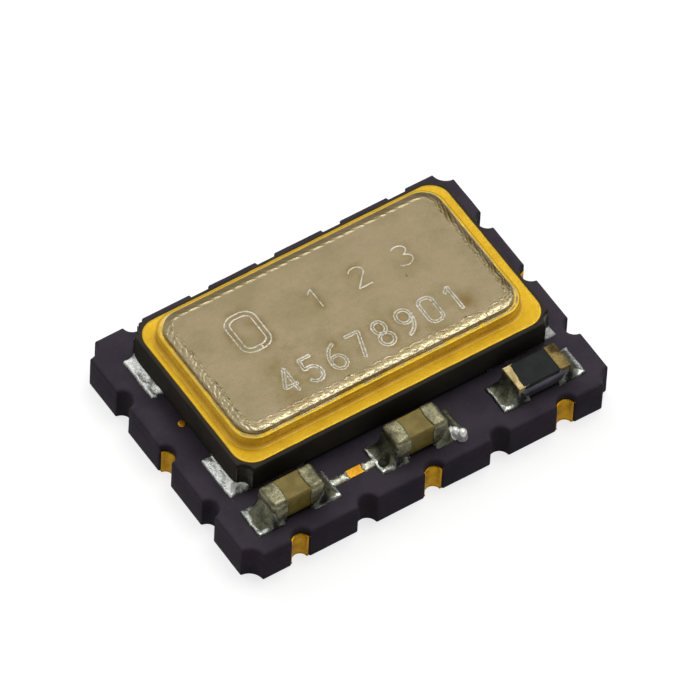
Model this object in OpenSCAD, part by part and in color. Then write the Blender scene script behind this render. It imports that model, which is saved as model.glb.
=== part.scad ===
// Surface-mount crystal oscillator module: a notched ceramic base with gold terminals, a sealed
// crystal package soldered on top of it, and a row of three chip components along the front edge.
// Millimetres. X runs along the length, Y from the chips to the back, Z up. The origin is the middle
// of the footprint, on the plane of the solder pads.

/* [Ceramic base] */
// Length of the base
base_l = 7; // [6.8:0.1:8]
// Width of the base
base_w = 5; // [4.9:0.1:6]
// Thickness of the fired ceramic
base_t = 0.65; // [0.55:0.05:1]
// Thickness of the top layer, whose notch walls carry no gold
top_layer_t = 0.14; // [0.08:0.01:0.3]
// Rounding of the upper edges
base_edge_r = 0.06; // [0.02:0.01:0.1]
// Radius of the notches along the four sides
notch_r = 0.16; // [0.1:0.01:0.19]
// Radius of the notches at the four corners
corner_notch_r = 0.24; // [0.16:0.01:0.3]
// Distance from notch to notch
notch_pitch = 1.27; // [1.1:0.01:1.4]

/* [Gold terminals] */
// Thickness of the gold in a notch and of the pad under the base
terminal_t = 0.02; // [0.01:0.005:0.04]
// Width of a pad, along the edge
pad_w = 1; // [0.6:0.05:1.05]
// Reach of a pad in from the edge
pad_reach = 0.9; // [0.4:0.05:1.1]

/* [Printed lands] */
// Thickness of the printed metal on top of the base
land_t = 0.015; // [0.01:0.005:0.03]
// Length of a chip's land, along X
chip_land_l = 0.5; // [0.36:0.02:0.6]
// Width of a chip's land, along Y
chip_land_w = 0.57; // [0.54:0.01:0.7]
// Outer length over the two lands of a chip
chip_span = 1.56; // [1.4:0.02:1.7]
// Width of the conductor that joins two chips
strip_w = 0.165; // [0.08:0.005:0.3]
// Length of a crystal land, along X
crystal_land_l = 1.3; // [0.9:0.05:1.5]
// Width of a crystal land, along Y
crystal_land_w = 0.85; // [0.6:0.05:1]
// How far the crystal lands reach past the package's ends
land_past_x = 0.125; // [0.1:0.005:0.2]
// How far the crystal lands stay back from the package's long sides
land_back_y = 0.1275; // [0.1:0.0025:0.15]
// Radius of the gold dot beside the package
dot_r = 0.07; // [0.04:0.01:0.1]
// Distance of the gold dot from the left edge
dot_inset = 0.54; // [0.5:0.01:0.7]

/* [Places on the base] */
// Distance from the front edge to the middle of the chips
chip_inset = 0.615; // [0.6:0.005:0.7]
// Distance from chip to chip
chip_pitch = 2.345; // [2.2:0.005:2.37]
// Distance from the front edge to the package
package_front_gap = 1.155; // [1.1:0.005:1.4]
// Distance from the back edge to the package
package_back_gap = 0.415; // [0.3:0.005:0.5]
// Distance from the left edge to the package
package_left_gap = 0.585; // [0.5:0.005:0.7]
// Distance from the right edge to the package
package_right_gap = 0.435; // [0.4:0.005:0.6]
// How far the lands' middle lies to the left of the package's
land_offset_x = 0.055; // [0:0.005:0.08]
// How far the lands' middle lies in front of the package's
land_offset_y = 0.058; // [0:0.001:0.08]

/* [Crystal package] */
// Height of the housing
housing_h = 0.515; // [0.45:0.005:0.8]
// Thickness of the housing's floor
housing_floor_t = 0.17; // [0.1:0.01:0.22]
// Radius of the housing's corner notches
housing_notch_r = 0.2; // [0.1:0.01:0.22]
// Thickness of the housing's walls
housing_wall = 0.69; // [0.62:0.01:0.75]
// Rounding of the cavity's corners
cavity_r = 0.15; // [0.05:0.01:0.25]
// Length of the ledge that carries the quartz
ledge_l = 0.65; // [0.5:0.05:0.9]
// Height of the ledge above the cavity's floor
ledge_h = 0.12; // [0.08:0.01:0.16]
// Length of a terminal pad under the housing
housing_pad_l = 1.2; // [0.8:0.05:1.4]
// Width of a terminal pad under the housing
housing_pad_w = 0.9; // [0.6:0.05:1]
// Thickness of the housing's terminal metal
housing_terminal_t = 0.015; // [0.01:0.005:0.03]
// Height of the metal in the housing's corner notches
corner_metal_h = 0.44; // [0.2:0.01:0.44]

/* [Seal and lid] */
// Thickness of the sealing rim
rim_t = 0.015; // [0.01:0.005:0.03]
// Width of bare ceramic left outside the rim
rim_inset = 0.067; // [0.05:0.001:0.1]
// Corner radius of the rim
rim_r = 0.36; // [0.25:0.01:0.5]
// Distance from the housing's sides to the ring
ring_inset = 0.255; // [0.24:0.005:0.3]
// Height of the ring
ring_h = 0.21; // [0.1:0.01:0.4]
// Thickness of the ring's wall
ring_wall = 0.36; // [0.3:0.01:0.38]
// Outer corner radius of the ring
ring_r = 0.42; // [0.4:0.01:0.55]
// Rounding of the ring's upper edges
ring_edge_r = 0.03; // [0.01:0.005:0.04]
// How far the ring sits to the left of the housing's middle
ring_offset_x = 0.037; // [0:0.001:0.06]
// How far the ring sits behind the housing's middle
ring_offset_y = 0.05; // [0:0.001:0.07]
// Width and height of the braze fillet round the ring
braze_w = 0.055; // [0.02:0.005:0.08]
// Ring top left bare round the lid
lid_inset = 0.085; // [0.06:0.005:0.12]
// Thickness of the lid
lid_t = 0.1; // [0.06:0.005:0.2]
// Corner radius of the lid
lid_r = 0.38; // [0.3:0.01:0.5]
// Width of the seam-welded track round the lid
weld_w = 0.17; // [0.1:0.01:0.25]
// Depth of the seam-welded track
weld_d = 0.012; // [0.005:0.001:0.02]

/* [Quartz] */
// Thickness of the quartz blank
quartz_t = 0.09; // [0.05:0.01:0.15]
// Gap between the blank and the cavity's left wall
quartz_gap = 0.15; // [0.1:0.01:0.25]
// Gap between the blank's free end and the cavity's right wall
quartz_end_gap = 0.55; // [0.3:0.05:0.7]
// Gap between the blank's long sides and the cavity's walls
quartz_side_gap = 0.2; // [0.15:0.01:0.25]
// Bare quartz left at each end of an electrode
electrode_inset_x = 0.9; // [0.7:0.05:1.1]
// Bare quartz left along each side of an electrode
electrode_inset_y = 0.25; // [0.15:0.01:0.3]
// Thickness of an electrode
electrode_t = 0.01; // [0.005:0.001:0.02]
// Width of an electrode's lead
lead_w = 0.3; // [0.26:0.02:0.34]
// Distance from the blank's long side to a lead
lead_inset = 0.05; // [0.03:0.01:0.1]
// Thickness of the mounting pads on the ledge
mount_pad_t = 0.012; // [0.01:0.001:0.02]
// Length of a mounting pad
mount_pad_l = 0.5; // [0.4:0.02:0.5]
// Width of a mounting pad
mount_pad_w = 0.36; // [0.3:0.02:0.4]
// Radius of a dot of conductive adhesive
adhesive_r = 0.14; // [0.08:0.01:0.17]
// Thickness of a dot of conductive adhesive
adhesive_t = 0.03; // [0.02:0.005:0.06]

/* [Oscillator circuit] */
// Length of the circuit die
die_l = 1.7; // [1.2:0.05:1.9]
// Width of the circuit die
die_w = 1.2; // [1:0.05:1.4]
// Thickness of the circuit die
die_t = 0.2; // [0.1:0.01:0.25]
// Radius of a contact bump
bump_r = 0.045; // [0.03:0.005:0.06]
// Height of a contact bump
bump_h = 0.05; // [0.03:0.005:0.07]
// Distance from bump to bump, along X
bump_pitch = 0.4; // [0.25:0.01:0.45]
// Distance from the die's long edge to its bumps
bump_inset = 0.27; // [0.1:0.01:0.35]
// Clearance round and above the die in its recess
recess_gap = 0.25; // [0.15:0.01:0.25]
// Depth left free above the die
recess_headroom = 0.05; // [0.02:0.01:0.08]
// Spread of the underfill outside the die
underfill_w = 0.1; // [0.05:0.01:0.14]
// Height that the underfill climbs on the die
underfill_climb = 0.1; // [0.05:0.01:0.1]

/* [Chip capacitors] */
// Length of a capacitor
capacitor_l = 1; // [0.9:0.02:1.1]
// Width of a capacitor
capacitor_w = 0.5; // [0.4:0.02:0.5]
// Height of a capacitor
capacitor_h = 0.5; // [0.3:0.02:0.6]
// Length of a metal end cap
end_cap_l = 0.27; // [0.2:0.01:0.34]
// Wall of a metal end cap
end_cap_t = 0.02; // [0.01:0.005:0.03]
// Edge rounding of the ceramic body
capacitor_edge_r = 0.045; // [0.02:0.005:0.06]

/* [Chip resistor] */
// Length of the resistor
resistor_l = 1; // [0.9:0.02:1.1]
// Width of the resistor
resistor_w = 0.5; // [0.4:0.02:0.5]
// Height of the resistor
resistor_h = 0.35; // [0.25:0.01:0.45]
// Length of the terminal bands on the resistor's top and bottom
band_l = 0.2; // [0.15:0.01:0.26]
// Thickness of the resistor's terminals
band_t = 0.02; // [0.015:0.005:0.03]
// Thickness of the dark coat
coat_t = 0.014; // [0.008:0.001:0.015]
// Gap between the coat and the resistor's long edges
coat_inset = 0.02; // [0.01:0.005:0.05]

/* [Solder] */
// Thickness of solder under a chip
chip_solder_t = 0.02; // [0.01:0.005:0.05]
// Height that solder climbs on a capacitor
capacitor_climb = 0.36; // [0.15:0.01:0.4]
// Height that solder climbs on the resistor
resistor_climb = 0.25; // [0.12:0.01:0.28]
// Thickness of solder under the package
package_solder_t = 0.03; // [0.02:0.005:0.06]
// Height that solder climbs in the package's corner notches
corner_climb = 0.25; // [0.1:0.01:0.3]
// Radius of the solder's foot at a corner of the package
corner_foot_r = 0.32; // [0.28:0.01:0.4]
// Radius of the solder ball beside the middle capacitor
ball_r = 0.11; // [0.05:0.01:0.12]
// How far the ball is sunk in its joint
ball_sink = 0.01; // [0.005:0.005:0.02]

/* [Hidden] */
$fn = 64;

CERAMIC = "#3b3139";
GOLD = "#d8a62a";
TIN = "#b9b9b4";
KOVAR = "#a89b7c";
LEFT = -1;
RIGHT = 1;
FRONT = -1;
BACK = 1;

// Heights, from the solder pads up
base_z = terminal_t;
top_z = base_z + base_t;
land_top_z = top_z + land_t;
chip_z = land_top_z + chip_solder_t;
package_z = land_top_z + package_solder_t;
housing_z = package_z + housing_terminal_t;
housing_top_z = housing_z + housing_h;
ring_z = housing_top_z + rim_t;
lid_z = ring_z + ring_h;
cavity_z = housing_z + housing_floor_t;
ledge_z = cavity_z + ledge_h;
adhesive_z = ledge_z + mount_pad_t;
electrode_z = adhesive_z + adhesive_t;
quartz_z = electrode_z + electrode_t;
recess_d = bump_h + die_t + recess_headroom;
recess_z = top_z - recess_d;

// Places on the base
long_steps = [-2, -1, 0, 1, 2];
short_steps = [-1, 0, 1];
chip_y = -base_w / 2 + chip_inset;
package_x = (package_left_gap - package_right_gap) / 2;
package_y = (package_front_gap - package_back_gap) / 2;
lands_x = package_x - land_offset_x;
lands_y = package_y - land_offset_y;
ring_x = package_x - ring_offset_x;
ring_y = package_y + ring_offset_y;
strip_l = chip_pitch - chip_span;
chip_land_x = (chip_span - chip_land_l) / 2;

// Sizes that follow from the pieces around them
housing_l = base_l - package_left_gap - package_right_gap;
housing_w = base_w - package_front_gap - package_back_gap;
crystal_span_x = housing_l + 2 * land_past_x;
crystal_span_y = housing_w - 2 * land_back_y;
cavity_l = housing_l - 2 * housing_wall;
cavity_w = housing_w - 2 * housing_wall;
ring_l = housing_l - 2 * ring_inset;
ring_w = housing_w - 2 * ring_inset;
quartz_l = cavity_l - quartz_gap - quartz_end_gap;
quartz_w = cavity_w - 2 * quartz_side_gap;
electrode_l = quartz_l - 2 * electrode_inset_x;
electrode_w = quartz_w - 2 * electrode_inset_y;
quartz_x = package_x - cavity_l / 2 + quartz_gap + quartz_l / 2;
mount_y = quartz_w / 2 - lead_inset - lead_w / 2;

// How round the hollow flank of a solder fillet is: its radius over its chord
fillet_bend = 1;
// Share of its height over which a chip's joint narrows from the land to the chip
flare = 0.25;
// Share of a corner notch's radius that its solder fillet fills
corner_reach = 0.9;
// How far a cutter stands out past what it cuts
past = 0.1;
// How far two shapes of one solid run into each other
lap = 0.05;

// General forms

// Rectangle with quarter-circle corners, centred
module rounded_plan(size, r) {
    square([size.x, size.y - 2 * r], center = true);
    square([size.x - 2 * r, size.y], center = true);
    for (sx = [-1, 1], sy = [-1, 1])
        translate([sx * (size.x / 2 - r), sy * (size.y / 2 - r)]) circle(r);
}

// Section with a flat foot and its two upper corners rounded
module crowned_section(w, h, r) {
    translate([-w / 2, 0]) square([w, h - r]);
    translate([-w / 2 + r, 0]) square([w - 2 * r, h]);
    for (s = [-1, 1]) translate([s * (w / 2 - r), h - r]) circle(r);
}

// Runs a section along X: its own X becomes Y, and its own Y becomes Z
module along_x(length) {
    translate([-length / 2, 0, 0]) rotate([90, 0, 90]) linear_extrude(length) children();
}

// Runs a section along Y: its own X stays X, and its own Y becomes Z
module along_y(length) {
    translate([0, length / 2, 0]) rotate([90, 0, 0]) linear_extrude(length) children();
}

// Block on the plane z = 0 with all its edges rounded
module soft_block(size, r) {
    intersection() {
        linear_extrude(size.z) rounded_plan([size.x, size.y], r);
        translate([0, 0, size.z / 2]) along_x(size.x) rounded_plan([size.y, size.z], r);
        translate([0, 0, size.z / 2]) along_y(size.y) rounded_plan([size.x, size.z], r);
    }
}

// Runs a section round a rectangle whose corners have radius r; the section's X points outward
module swept_frame(size, r) {
    for (turn = [0, 180]) {
        rotate(turn) translate([size.x / 2, 0, 0]) along_y(size.y - 2 * r) children();
        rotate(turn + 90) translate([size.y / 2, 0, 0]) along_y(size.x - 2 * r) children();
        for (s = [0, 1])
            rotate(turn)
                translate([size.x / 2 - r, (s == 0 ? 1 : -1) * (size.y / 2 - r), 0])
                    rotate(-90 * s) rotate_extrude(angle = 90) translate([r, 0]) children();
    }
}

// Section of a fillet in the corner of a floor and a wall, with a hollow flank
module hollow_fillet(reach, climb) {
    chord = norm([reach, climb]);
    r = fillet_bend * chord;
    k = sqrt(r * r - chord * chord / 4);
    difference() {
        polygon([[0, 0], [reach, 0], [0, climb]]);
        translate([reach / 2 + k * climb / chord, climb / 2 + k * reach / chord]) circle(r);
    }
}

// Ceramic base

// Puts a child at each notch of the base, its own X pointing out of the base
module at_notch(side, step) {
    if (side == "front") translate([step * notch_pitch, -base_w / 2, 0]) rotate(-90) children();
    if (side == "back") translate([step * notch_pitch, base_w / 2, 0]) rotate(90) children();
    if (side == "left") translate([-base_l / 2, step * notch_pitch, 0]) rotate(180) children();
    if (side == "right") translate([base_l / 2, step * notch_pitch, 0]) children();
}

module base_plan() {
    difference() {
        square([base_l, base_w], center = true);
        for (side = ["front", "back"], step = long_steps) at_notch(side, step) circle(notch_r);
        for (side = ["left", "right"], step = short_steps) at_notch(side, step) circle(notch_r);
        for (sx = [-1, 1], sy = [-1, 1])
            translate([sx * base_l / 2, sy * base_w / 2]) circle(corner_notch_r);
    }
}

module base_ceramic() {
    color(CERAMIC) difference() {
        translate([0, 0, base_z]) intersection() {
            linear_extrude(base_t) base_plan();
            along_x(base_l) crowned_section(base_w, base_t, base_edge_r);
            along_y(base_w) crowned_section(base_l, base_t, base_edge_r);
        }
        translate([package_x, package_y, recess_z])
            linear_extrude(recess_d)
                square([die_l + 2 * recess_gap, die_w + 2 * recess_gap], center = true);
    }
}

// Plated notch wall with its solder pad, at a notch of the base
module gold_terminal(side, step) {
    color(GOLD) at_notch(side, step) difference() {
        union() {
            translate([-pad_reach, -pad_w / 2, 0]) cube([pad_reach, pad_w, terminal_t]);
            intersection() {
                cylinder(r = notch_r, h = base_z + base_t - top_layer_t);
                translate([-notch_r, -notch_r, 0]) cube([notch_r, 2 * notch_r, top_z]);
            }
        }
        translate([0, 0, -past]) cylinder(r = notch_r - terminal_t, h = top_z + past);
    }
}

// Printed lands

module chip_land(chip, end) {
    translate([chip * chip_pitch + end * chip_land_x, chip_y, top_z])
        linear_extrude(land_t) square([chip_land_l, chip_land_w], center = true);
}

module chip_lands() {
    color(GOLD) {
        chip_land(-1, LEFT);
        chip_land(0, RIGHT);
        chip_land(1, LEFT);
        chip_land(1, RIGHT);
    }
}

module conductor_strip() {
    color(GOLD) union() {
        chip_land(-1, RIGHT);
        chip_land(0, LEFT);
        translate([-chip_pitch / 2, chip_y, top_z + land_t / 2])
            cube([strip_l + chip_land_l, strip_w, land_t], center = true);
    }
}

// Puts a child at the outer corner of a crystal land, its own X and Y pointing inward
module at_land_corner(sx, sy) {
    translate([lands_x + sx * crystal_span_x / 2, lands_y + sy * crystal_span_y / 2, 0])
        mirror_to_corner(sx, sy) children();
}

// Turns a child drawn for the front left corner to another corner
module mirror_to_corner(sx, sy) {
    mirror([sx > 0 ? 1 : 0, 0, 0]) mirror([0, sy > 0 ? 1 : 0, 0]) children();
}

module crystal_lands() {
    color(GOLD) for (sx = [-1, 1], sy = [-1, 1])
        at_land_corner(sx, sy) translate([0, 0, top_z])
            cube([crystal_land_l, crystal_land_w, land_t]);
}

module gold_dot() {
    color(GOLD) translate([-base_l / 2 + dot_inset, package_y, top_z])
        cylinder(r = dot_r, h = land_t);
}

// Oscillator circuit

module circuit_die() {
    color("#4a4d52") translate([package_x, package_y, recess_z + bump_h])
        linear_extrude(die_t) square([die_l, die_w], center = true);
}

module bump_rows() {
    row_y = die_w / 2 - bump_inset;
    for (sx = [-1.5, -0.5, 0.5, 1.5], sy = [-1, 1])
        translate([sx * bump_pitch, sy * row_y, 0]) cylinder(r = bump_r, h = bump_h);
}

module die_bumps() {
    color(GOLD) translate([package_x, package_y, recess_z]) bump_rows();
}

// Section that slopes in from a wide foot to the die's side
module sloped_section(side) {
    foot = side / 2 + underfill_w;
    polygon([
        [-foot, 0], [foot, 0], [side / 2, bump_h + underfill_climb],
        [-side / 2, bump_h + underfill_climb]
    ]);
}

module die_underfill() {
    color("#6b6459") translate([package_x, package_y, recess_z]) difference() {
        intersection() {
            along_x(die_l + 2 * underfill_w) sloped_section(die_w);
            along_y(die_w + 2 * underfill_w) sloped_section(die_l);
        }
        translate([0, 0, bump_h])
            linear_extrude(die_t) square([die_l, die_w], center = true);
        bump_rows();
    }
}

// Crystal package

// Puts a child at a corner of the housing, its own X and Y pointing inward
module at_housing_corner(sx, sy) {
    translate([package_x + sx * housing_l / 2, package_y + sy * housing_w / 2, 0])
        mirror_to_corner(sx, sy) children();
}

module housing() {
    color("#2f2c2b") difference() {
        translate([package_x, package_y, housing_z]) linear_extrude(housing_h) difference() {
            square([housing_l, housing_w], center = true);
            for (sx = [-1, 1], sy = [-1, 1])
                translate([sx * housing_l / 2, sy * housing_w / 2]) circle(housing_notch_r);
        }
        translate([package_x, package_y, ledge_z])
            linear_extrude(housing_h) rounded_plan([cavity_l, cavity_w], cavity_r);
        translate([package_x + ledge_l / 2, package_y, cavity_z])
            linear_extrude(housing_h) rounded_plan([cavity_l - ledge_l, cavity_w], cavity_r);
    }
}

// Pad under a corner of the housing, with the metal that climbs in the corner notch
module housing_terminal(sx, sy) {
    metal_h = housing_terminal_t + corner_metal_h;
    color(GOLD) at_housing_corner(sx, sy) translate([0, 0, package_z]) difference() {
        union() {
            cube([housing_pad_l, housing_pad_w, housing_terminal_t]);
            intersection() {
                cylinder(r = housing_notch_r, h = metal_h);
                cube([housing_notch_r, housing_notch_r, metal_h]);
            }
        }
        translate([0, 0, -past])
            cylinder(r = housing_notch_r - housing_terminal_t, h = metal_h + 2 * past);
    }
}

module sealing_rim() {
    color(GOLD) translate([0, 0, housing_top_z]) linear_extrude(rim_t) difference() {
        translate([package_x, package_y])
            rounded_plan([housing_l - 2 * rim_inset, housing_w - 2 * rim_inset], rim_r);
        translate([package_x, package_y]) rounded_plan([cavity_l, cavity_w], cavity_r);
    }
}

// The ring's wall as a section run round its inner outline
module seal_ring() {
    inner = [ring_l - 2 * ring_wall, ring_w - 2 * ring_wall];
    color(GOLD) translate([ring_x, ring_y, ring_z])
        swept_frame(inner, ring_r - ring_wall)
            translate([ring_wall / 2, 0]) crowned_section(ring_wall, ring_h, ring_edge_r);
}

module ring_braze() {
    color("#c4902a") translate([ring_x, ring_y, ring_z])
        swept_frame([ring_l, ring_w], ring_r) hollow_fillet(braze_w, braze_w);
}

// Lid with a rounded edge and a sunken track where the seam was welded
module lid() {
    size = [ring_l - 2 * lid_inset, ring_w - 2 * lid_inset];
    track_t = lid_t - weld_d;
    edge_r = track_t / 2;
    core = [size.x - 2 * weld_w, size.y - 2 * weld_w];
    color(KOVAR) translate([ring_x, ring_y, lid_z]) union() {
        linear_extrude(lid_t) rounded_plan(core, lid_r - weld_w);
        swept_frame(core, lid_r - weld_w) {
            translate([-lap, 0]) square([lap + weld_w - edge_r, track_t]);
            translate([-lap, 0]) square([lap + weld_w, edge_r]);
            translate([weld_w - edge_r, edge_r]) circle(edge_r);
        }
    }
}

// Quartz blank and what holds it

module quartz_blank() {
    color("#dfe6e6", 0.6) translate([quartz_x, package_y, quartz_z])
        linear_extrude(quartz_t) square([quartz_l, quartz_w], center = true);
}

// Film electrode with a lead to the clamped end of the blank
module electrode(z, side) {
    lead_l = quartz_l / 2;
    color("#d9d4c4") translate([quartz_x, package_y, z]) linear_extrude(electrode_t) union() {
        square([electrode_l, electrode_w], center = true);
        translate([-lead_l, side * mount_y - lead_w / 2]) square([lead_l, lead_w]);
    }
}

module mounting_pad(side) {
    color(GOLD)
        translate([package_x - cavity_l / 2 + ledge_l / 2, package_y + side * mount_y, ledge_z])
            linear_extrude(mount_pad_t) square([mount_pad_l, mount_pad_w], center = true);
}

module adhesive(side) {
    under = side == FRONT ? electrode_z : quartz_z;
    color("#8f8f8a")
        translate([quartz_x - quartz_l / 2 + adhesive_r, package_y + side * mount_y, adhesive_z])
            cylinder(r = adhesive_r, h = under - adhesive_z);
}

// Chip components

// Puts a child at a chip's place, its foot on the solder
module at_chip(chip) {
    translate([chip * chip_pitch, chip_y, chip_z]) children();
}

module capacitor_envelope() {
    soft_block([capacitor_l, capacitor_w, capacitor_h], capacitor_edge_r + end_cap_t);
}

module capacitor_core() {
    translate([0, 0, end_cap_t])
        soft_block(
            [capacitor_l - 2 * end_cap_t, capacitor_w - 2 * end_cap_t, capacitor_h - 2 * end_cap_t],
            capacitor_edge_r);
}

module capacitor_body(chip) {
    color("#8f7f4e") at_chip(chip) capacitor_core();
}

// Metal cup over one end of a capacitor
module capacitor_cap(chip, end) {
    color(TIN) at_chip(chip) difference() {
        intersection() {
            capacitor_envelope();
            translate([end * (capacitor_l - end_cap_l) / 2, 0, capacitor_h / 2])
                cube([end_cap_l, capacitor_w, capacitor_h], center = true);
        }
        capacitor_core();
    }
}

module resistor_substrate() {
    size = [resistor_l - 2 * band_t, resistor_w, resistor_h - 2 * band_t];
    color("#c9c9d2") at_chip(1) translate([0, 0, band_t + size.z / 2]) cube(size, center = true);
}

module resistor_coat() {
    size = [resistor_l - 2 * band_l, resistor_w - 2 * coat_inset, coat_t];
    color("#24302c") at_chip(1) translate([0, 0, resistor_h - band_t + coat_t / 2])
        cube(size, center = true);
}

// Terminal folded over one end of the resistor, as a C in section
module resistor_band(end) {
    color("#c8ad74") at_chip(1) difference() {
        translate([end * (resistor_l - band_l) / 2, 0, resistor_h / 2])
            cube([band_l, resistor_w, resistor_h], center = true);
        translate([0, 0, resistor_h / 2])
            cube([resistor_l - 2 * band_t, resistor_w, resistor_h - 2 * band_t], center = true);
    }
}

// Solder joints

// Solder at one end of a chip, over the whole of its land, less the chip itself
module chip_solder(chip, end, length, width, climb) {
    reach = (chip_span - length) / 2;
    bury = capacitor_edge_r + end_cap_t;
    at_chip(chip) mirror([end > 0 ? 0 : 1, 0, 0]) {
        translate([chip_land_x, 0, -chip_solder_t])
            linear_extrude(chip_solder_t) square([chip_land_l, chip_land_w], center = true);
        intersection() {
            translate([length / 2, 0, 0]) along_y(chip_land_w) union() {
                hollow_fillet(reach, climb);
                translate([-bury, 0]) square([bury, climb]);
            }
            translate([length / 2, 0, 0]) along_x(2 * reach)
                polygon([
                    [-chip_land_w / 2, 0], [chip_land_w / 2, 0],
                    [width / 2, flare * climb], [width / 2, climb],
                    [-width / 2, climb], [-width / 2, flare * climb]
                ]);
        }
    }
}

module solder_capacitor(chip, end) {
    color(TIN) difference() {
        chip_solder(chip, end, capacitor_l, capacitor_w, capacitor_climb);
        at_chip(chip) capacitor_envelope();
    }
}

// The joint that carries the ball, over the front edge of its land
module solder_capacitor_with_ball(chip, end) {
    color(TIN) union() {
        solder_capacitor(chip, end);
        translate([
            chip * chip_pitch + end * (chip_span / 2 - ball_r),
            chip_y - chip_land_w / 2,
            chip_z + ball_r - ball_sink
        ]) sphere(ball_r);
    }
}

module solder_resistor(end) {
    color(TIN) difference() {
        chip_solder(1, end, resistor_l, resistor_w, resistor_climb);
        at_chip(1) translate([0, 0, resistor_h / 2])
            cube([resistor_l, resistor_w, resistor_h], center = true);
    }
}

// Solder between a crystal land and the housing, with a fillet up the corner notch
module solder_package(sx, sy) {
    inner_r = housing_notch_r - housing_terminal_t;
    reach = corner_reach * inner_r;
    color(TIN) union() {
        at_land_corner(sx, sy) translate([0, 0, land_top_z])
            cube([crystal_land_l, crystal_land_w, package_solder_t]);
        at_housing_corner(sx, sy) translate([0, 0, land_top_z]) intersection() {
            cylinder(r = corner_foot_r, h = package_solder_t);
            cube([corner_foot_r, corner_foot_r, package_solder_t]);
        }
        at_housing_corner(sx, sy) translate([0, 0, package_z])
            rotate_extrude(angle = 90) translate([inner_r, 0]) mirror([1, 0])
                hollow_fillet(reach, corner_climb);
    }
}

base_ceramic();
gold_terminal("front", -2);  // terminal_front_left
gold_terminal("front", 0);  // terminal_front_middle
gold_terminal("front", 2);  // terminal_front_right
gold_terminal("back", -2);  // terminal_back_left
gold_terminal("back", 0);  // terminal_back_middle
gold_terminal("back", 2);  // terminal_back_right
gold_terminal("left", 0);  // terminal_end_left
gold_terminal("right", 0);  // terminal_end_right
crystal_lands();
chip_lands();
conductor_strip();
gold_dot();
circuit_die();
die_bumps();
die_underfill();
housing();
housing_terminal(LEFT, FRONT);  // housing_terminal_front_left
housing_terminal(RIGHT, FRONT);  // housing_terminal_front_right
housing_terminal(LEFT, BACK);  // housing_terminal_back_left
housing_terminal(RIGHT, BACK);  // housing_terminal_back_right
sealing_rim();
seal_ring();
ring_braze();
lid();
quartz_blank();
electrode(quartz_z + quartz_t, BACK);  // electrode_upper
electrode(electrode_z, FRONT);  // electrode_lower
mounting_pad(FRONT);  // mounting_pad_front
mounting_pad(BACK);  // mounting_pad_back
adhesive(FRONT);  // adhesive_front
adhesive(BACK);  // adhesive_back
capacitor_body(-1);  // capacitor_left_body
capacitor_cap(-1, LEFT);  // capacitor_left_cap_left
capacitor_cap(-1, RIGHT);  // capacitor_left_cap_right
capacitor_body(0);  // capacitor_middle_body
capacitor_cap(0, LEFT);  // capacitor_middle_cap_left
capacitor_cap(0, RIGHT);  // capacitor_middle_cap_right
resistor_substrate();
resistor_coat();
resistor_band(LEFT);  // resistor_band_left
resistor_band(RIGHT);  // resistor_band_right
solder_capacitor(-1, LEFT);  // solder_capacitor_left_1
solder_capacitor(-1, RIGHT);  // solder_capacitor_left_2
solder_capacitor(0, LEFT);  // solder_capacitor_middle_1
solder_capacitor_with_ball(0, RIGHT);  // solder_capacitor_middle_2
solder_resistor(LEFT);  // solder_resistor_1
solder_resistor(RIGHT);  // solder_resistor_2
solder_package(LEFT, FRONT);  // solder_package_front_left
solder_package(RIGHT, FRONT);  // solder_package_front_right
solder_package(LEFT, BACK);  // solder_package_back_left
solder_package(RIGHT, BACK);  // solder_package_back_right
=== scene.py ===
"""Looks of a surface-mount crystal oscillator module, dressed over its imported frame.

Forms are worked out in millimetres and turned into metres when a mesh is made. X runs along the
module, Y from the chips to the back, Z up from the plane of the solder pads.
"""

import logging
import math
from dataclasses import asdict, dataclass, field
from enum import Enum
from functools import cache
from typing import Callable, Protocol, Sequence

import bpy
import numpy as np
from mathutils import Matrix, Vector
from mathutils.geometry import tessellate_polygon


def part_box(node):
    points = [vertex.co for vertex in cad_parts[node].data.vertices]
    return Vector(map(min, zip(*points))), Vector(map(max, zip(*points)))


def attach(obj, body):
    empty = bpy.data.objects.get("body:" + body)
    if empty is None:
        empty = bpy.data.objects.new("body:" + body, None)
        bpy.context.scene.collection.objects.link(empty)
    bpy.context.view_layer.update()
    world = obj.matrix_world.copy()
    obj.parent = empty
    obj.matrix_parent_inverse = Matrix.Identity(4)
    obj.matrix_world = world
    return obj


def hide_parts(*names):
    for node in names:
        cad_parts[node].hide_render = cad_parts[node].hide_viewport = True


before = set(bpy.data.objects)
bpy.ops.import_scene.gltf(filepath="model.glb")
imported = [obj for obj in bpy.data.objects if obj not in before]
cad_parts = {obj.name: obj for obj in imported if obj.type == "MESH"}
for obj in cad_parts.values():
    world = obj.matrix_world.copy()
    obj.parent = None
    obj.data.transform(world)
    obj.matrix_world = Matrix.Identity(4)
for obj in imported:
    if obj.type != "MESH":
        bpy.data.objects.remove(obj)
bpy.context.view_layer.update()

LOG = logging.getLogger("oscillator")
MM = 0.001
BODY = "root"
STAIN_AND_SHADE = "lid_stain"
WELD_AND_SHEEN = "lid_weld"
SMALLEST_RADIUS = 0.0005
SUNK = 0.006

Array = np.ndarray
Pair = tuple[float, float]
Triple = tuple[float, float, float]
Colour = tuple[float, float, float]
Profile = list[Pair]


class Side(Enum):
    """A side of the base, with the direction that points out of it."""

    FRONT = (0.0, -1.0)
    BACK = (0.0, 1.0)
    LEFT = (-1.0, 0.0)
    RIGHT = (1.0, 0.0)


class Patch(Enum):
    """What shows on a stretch of a solder joint, numbered as its finishes."""

    PLAIN = 0
    DROP = 1
    FLUX = 2
    HOLLOW = 3
    RUN_OUT = 4


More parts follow.
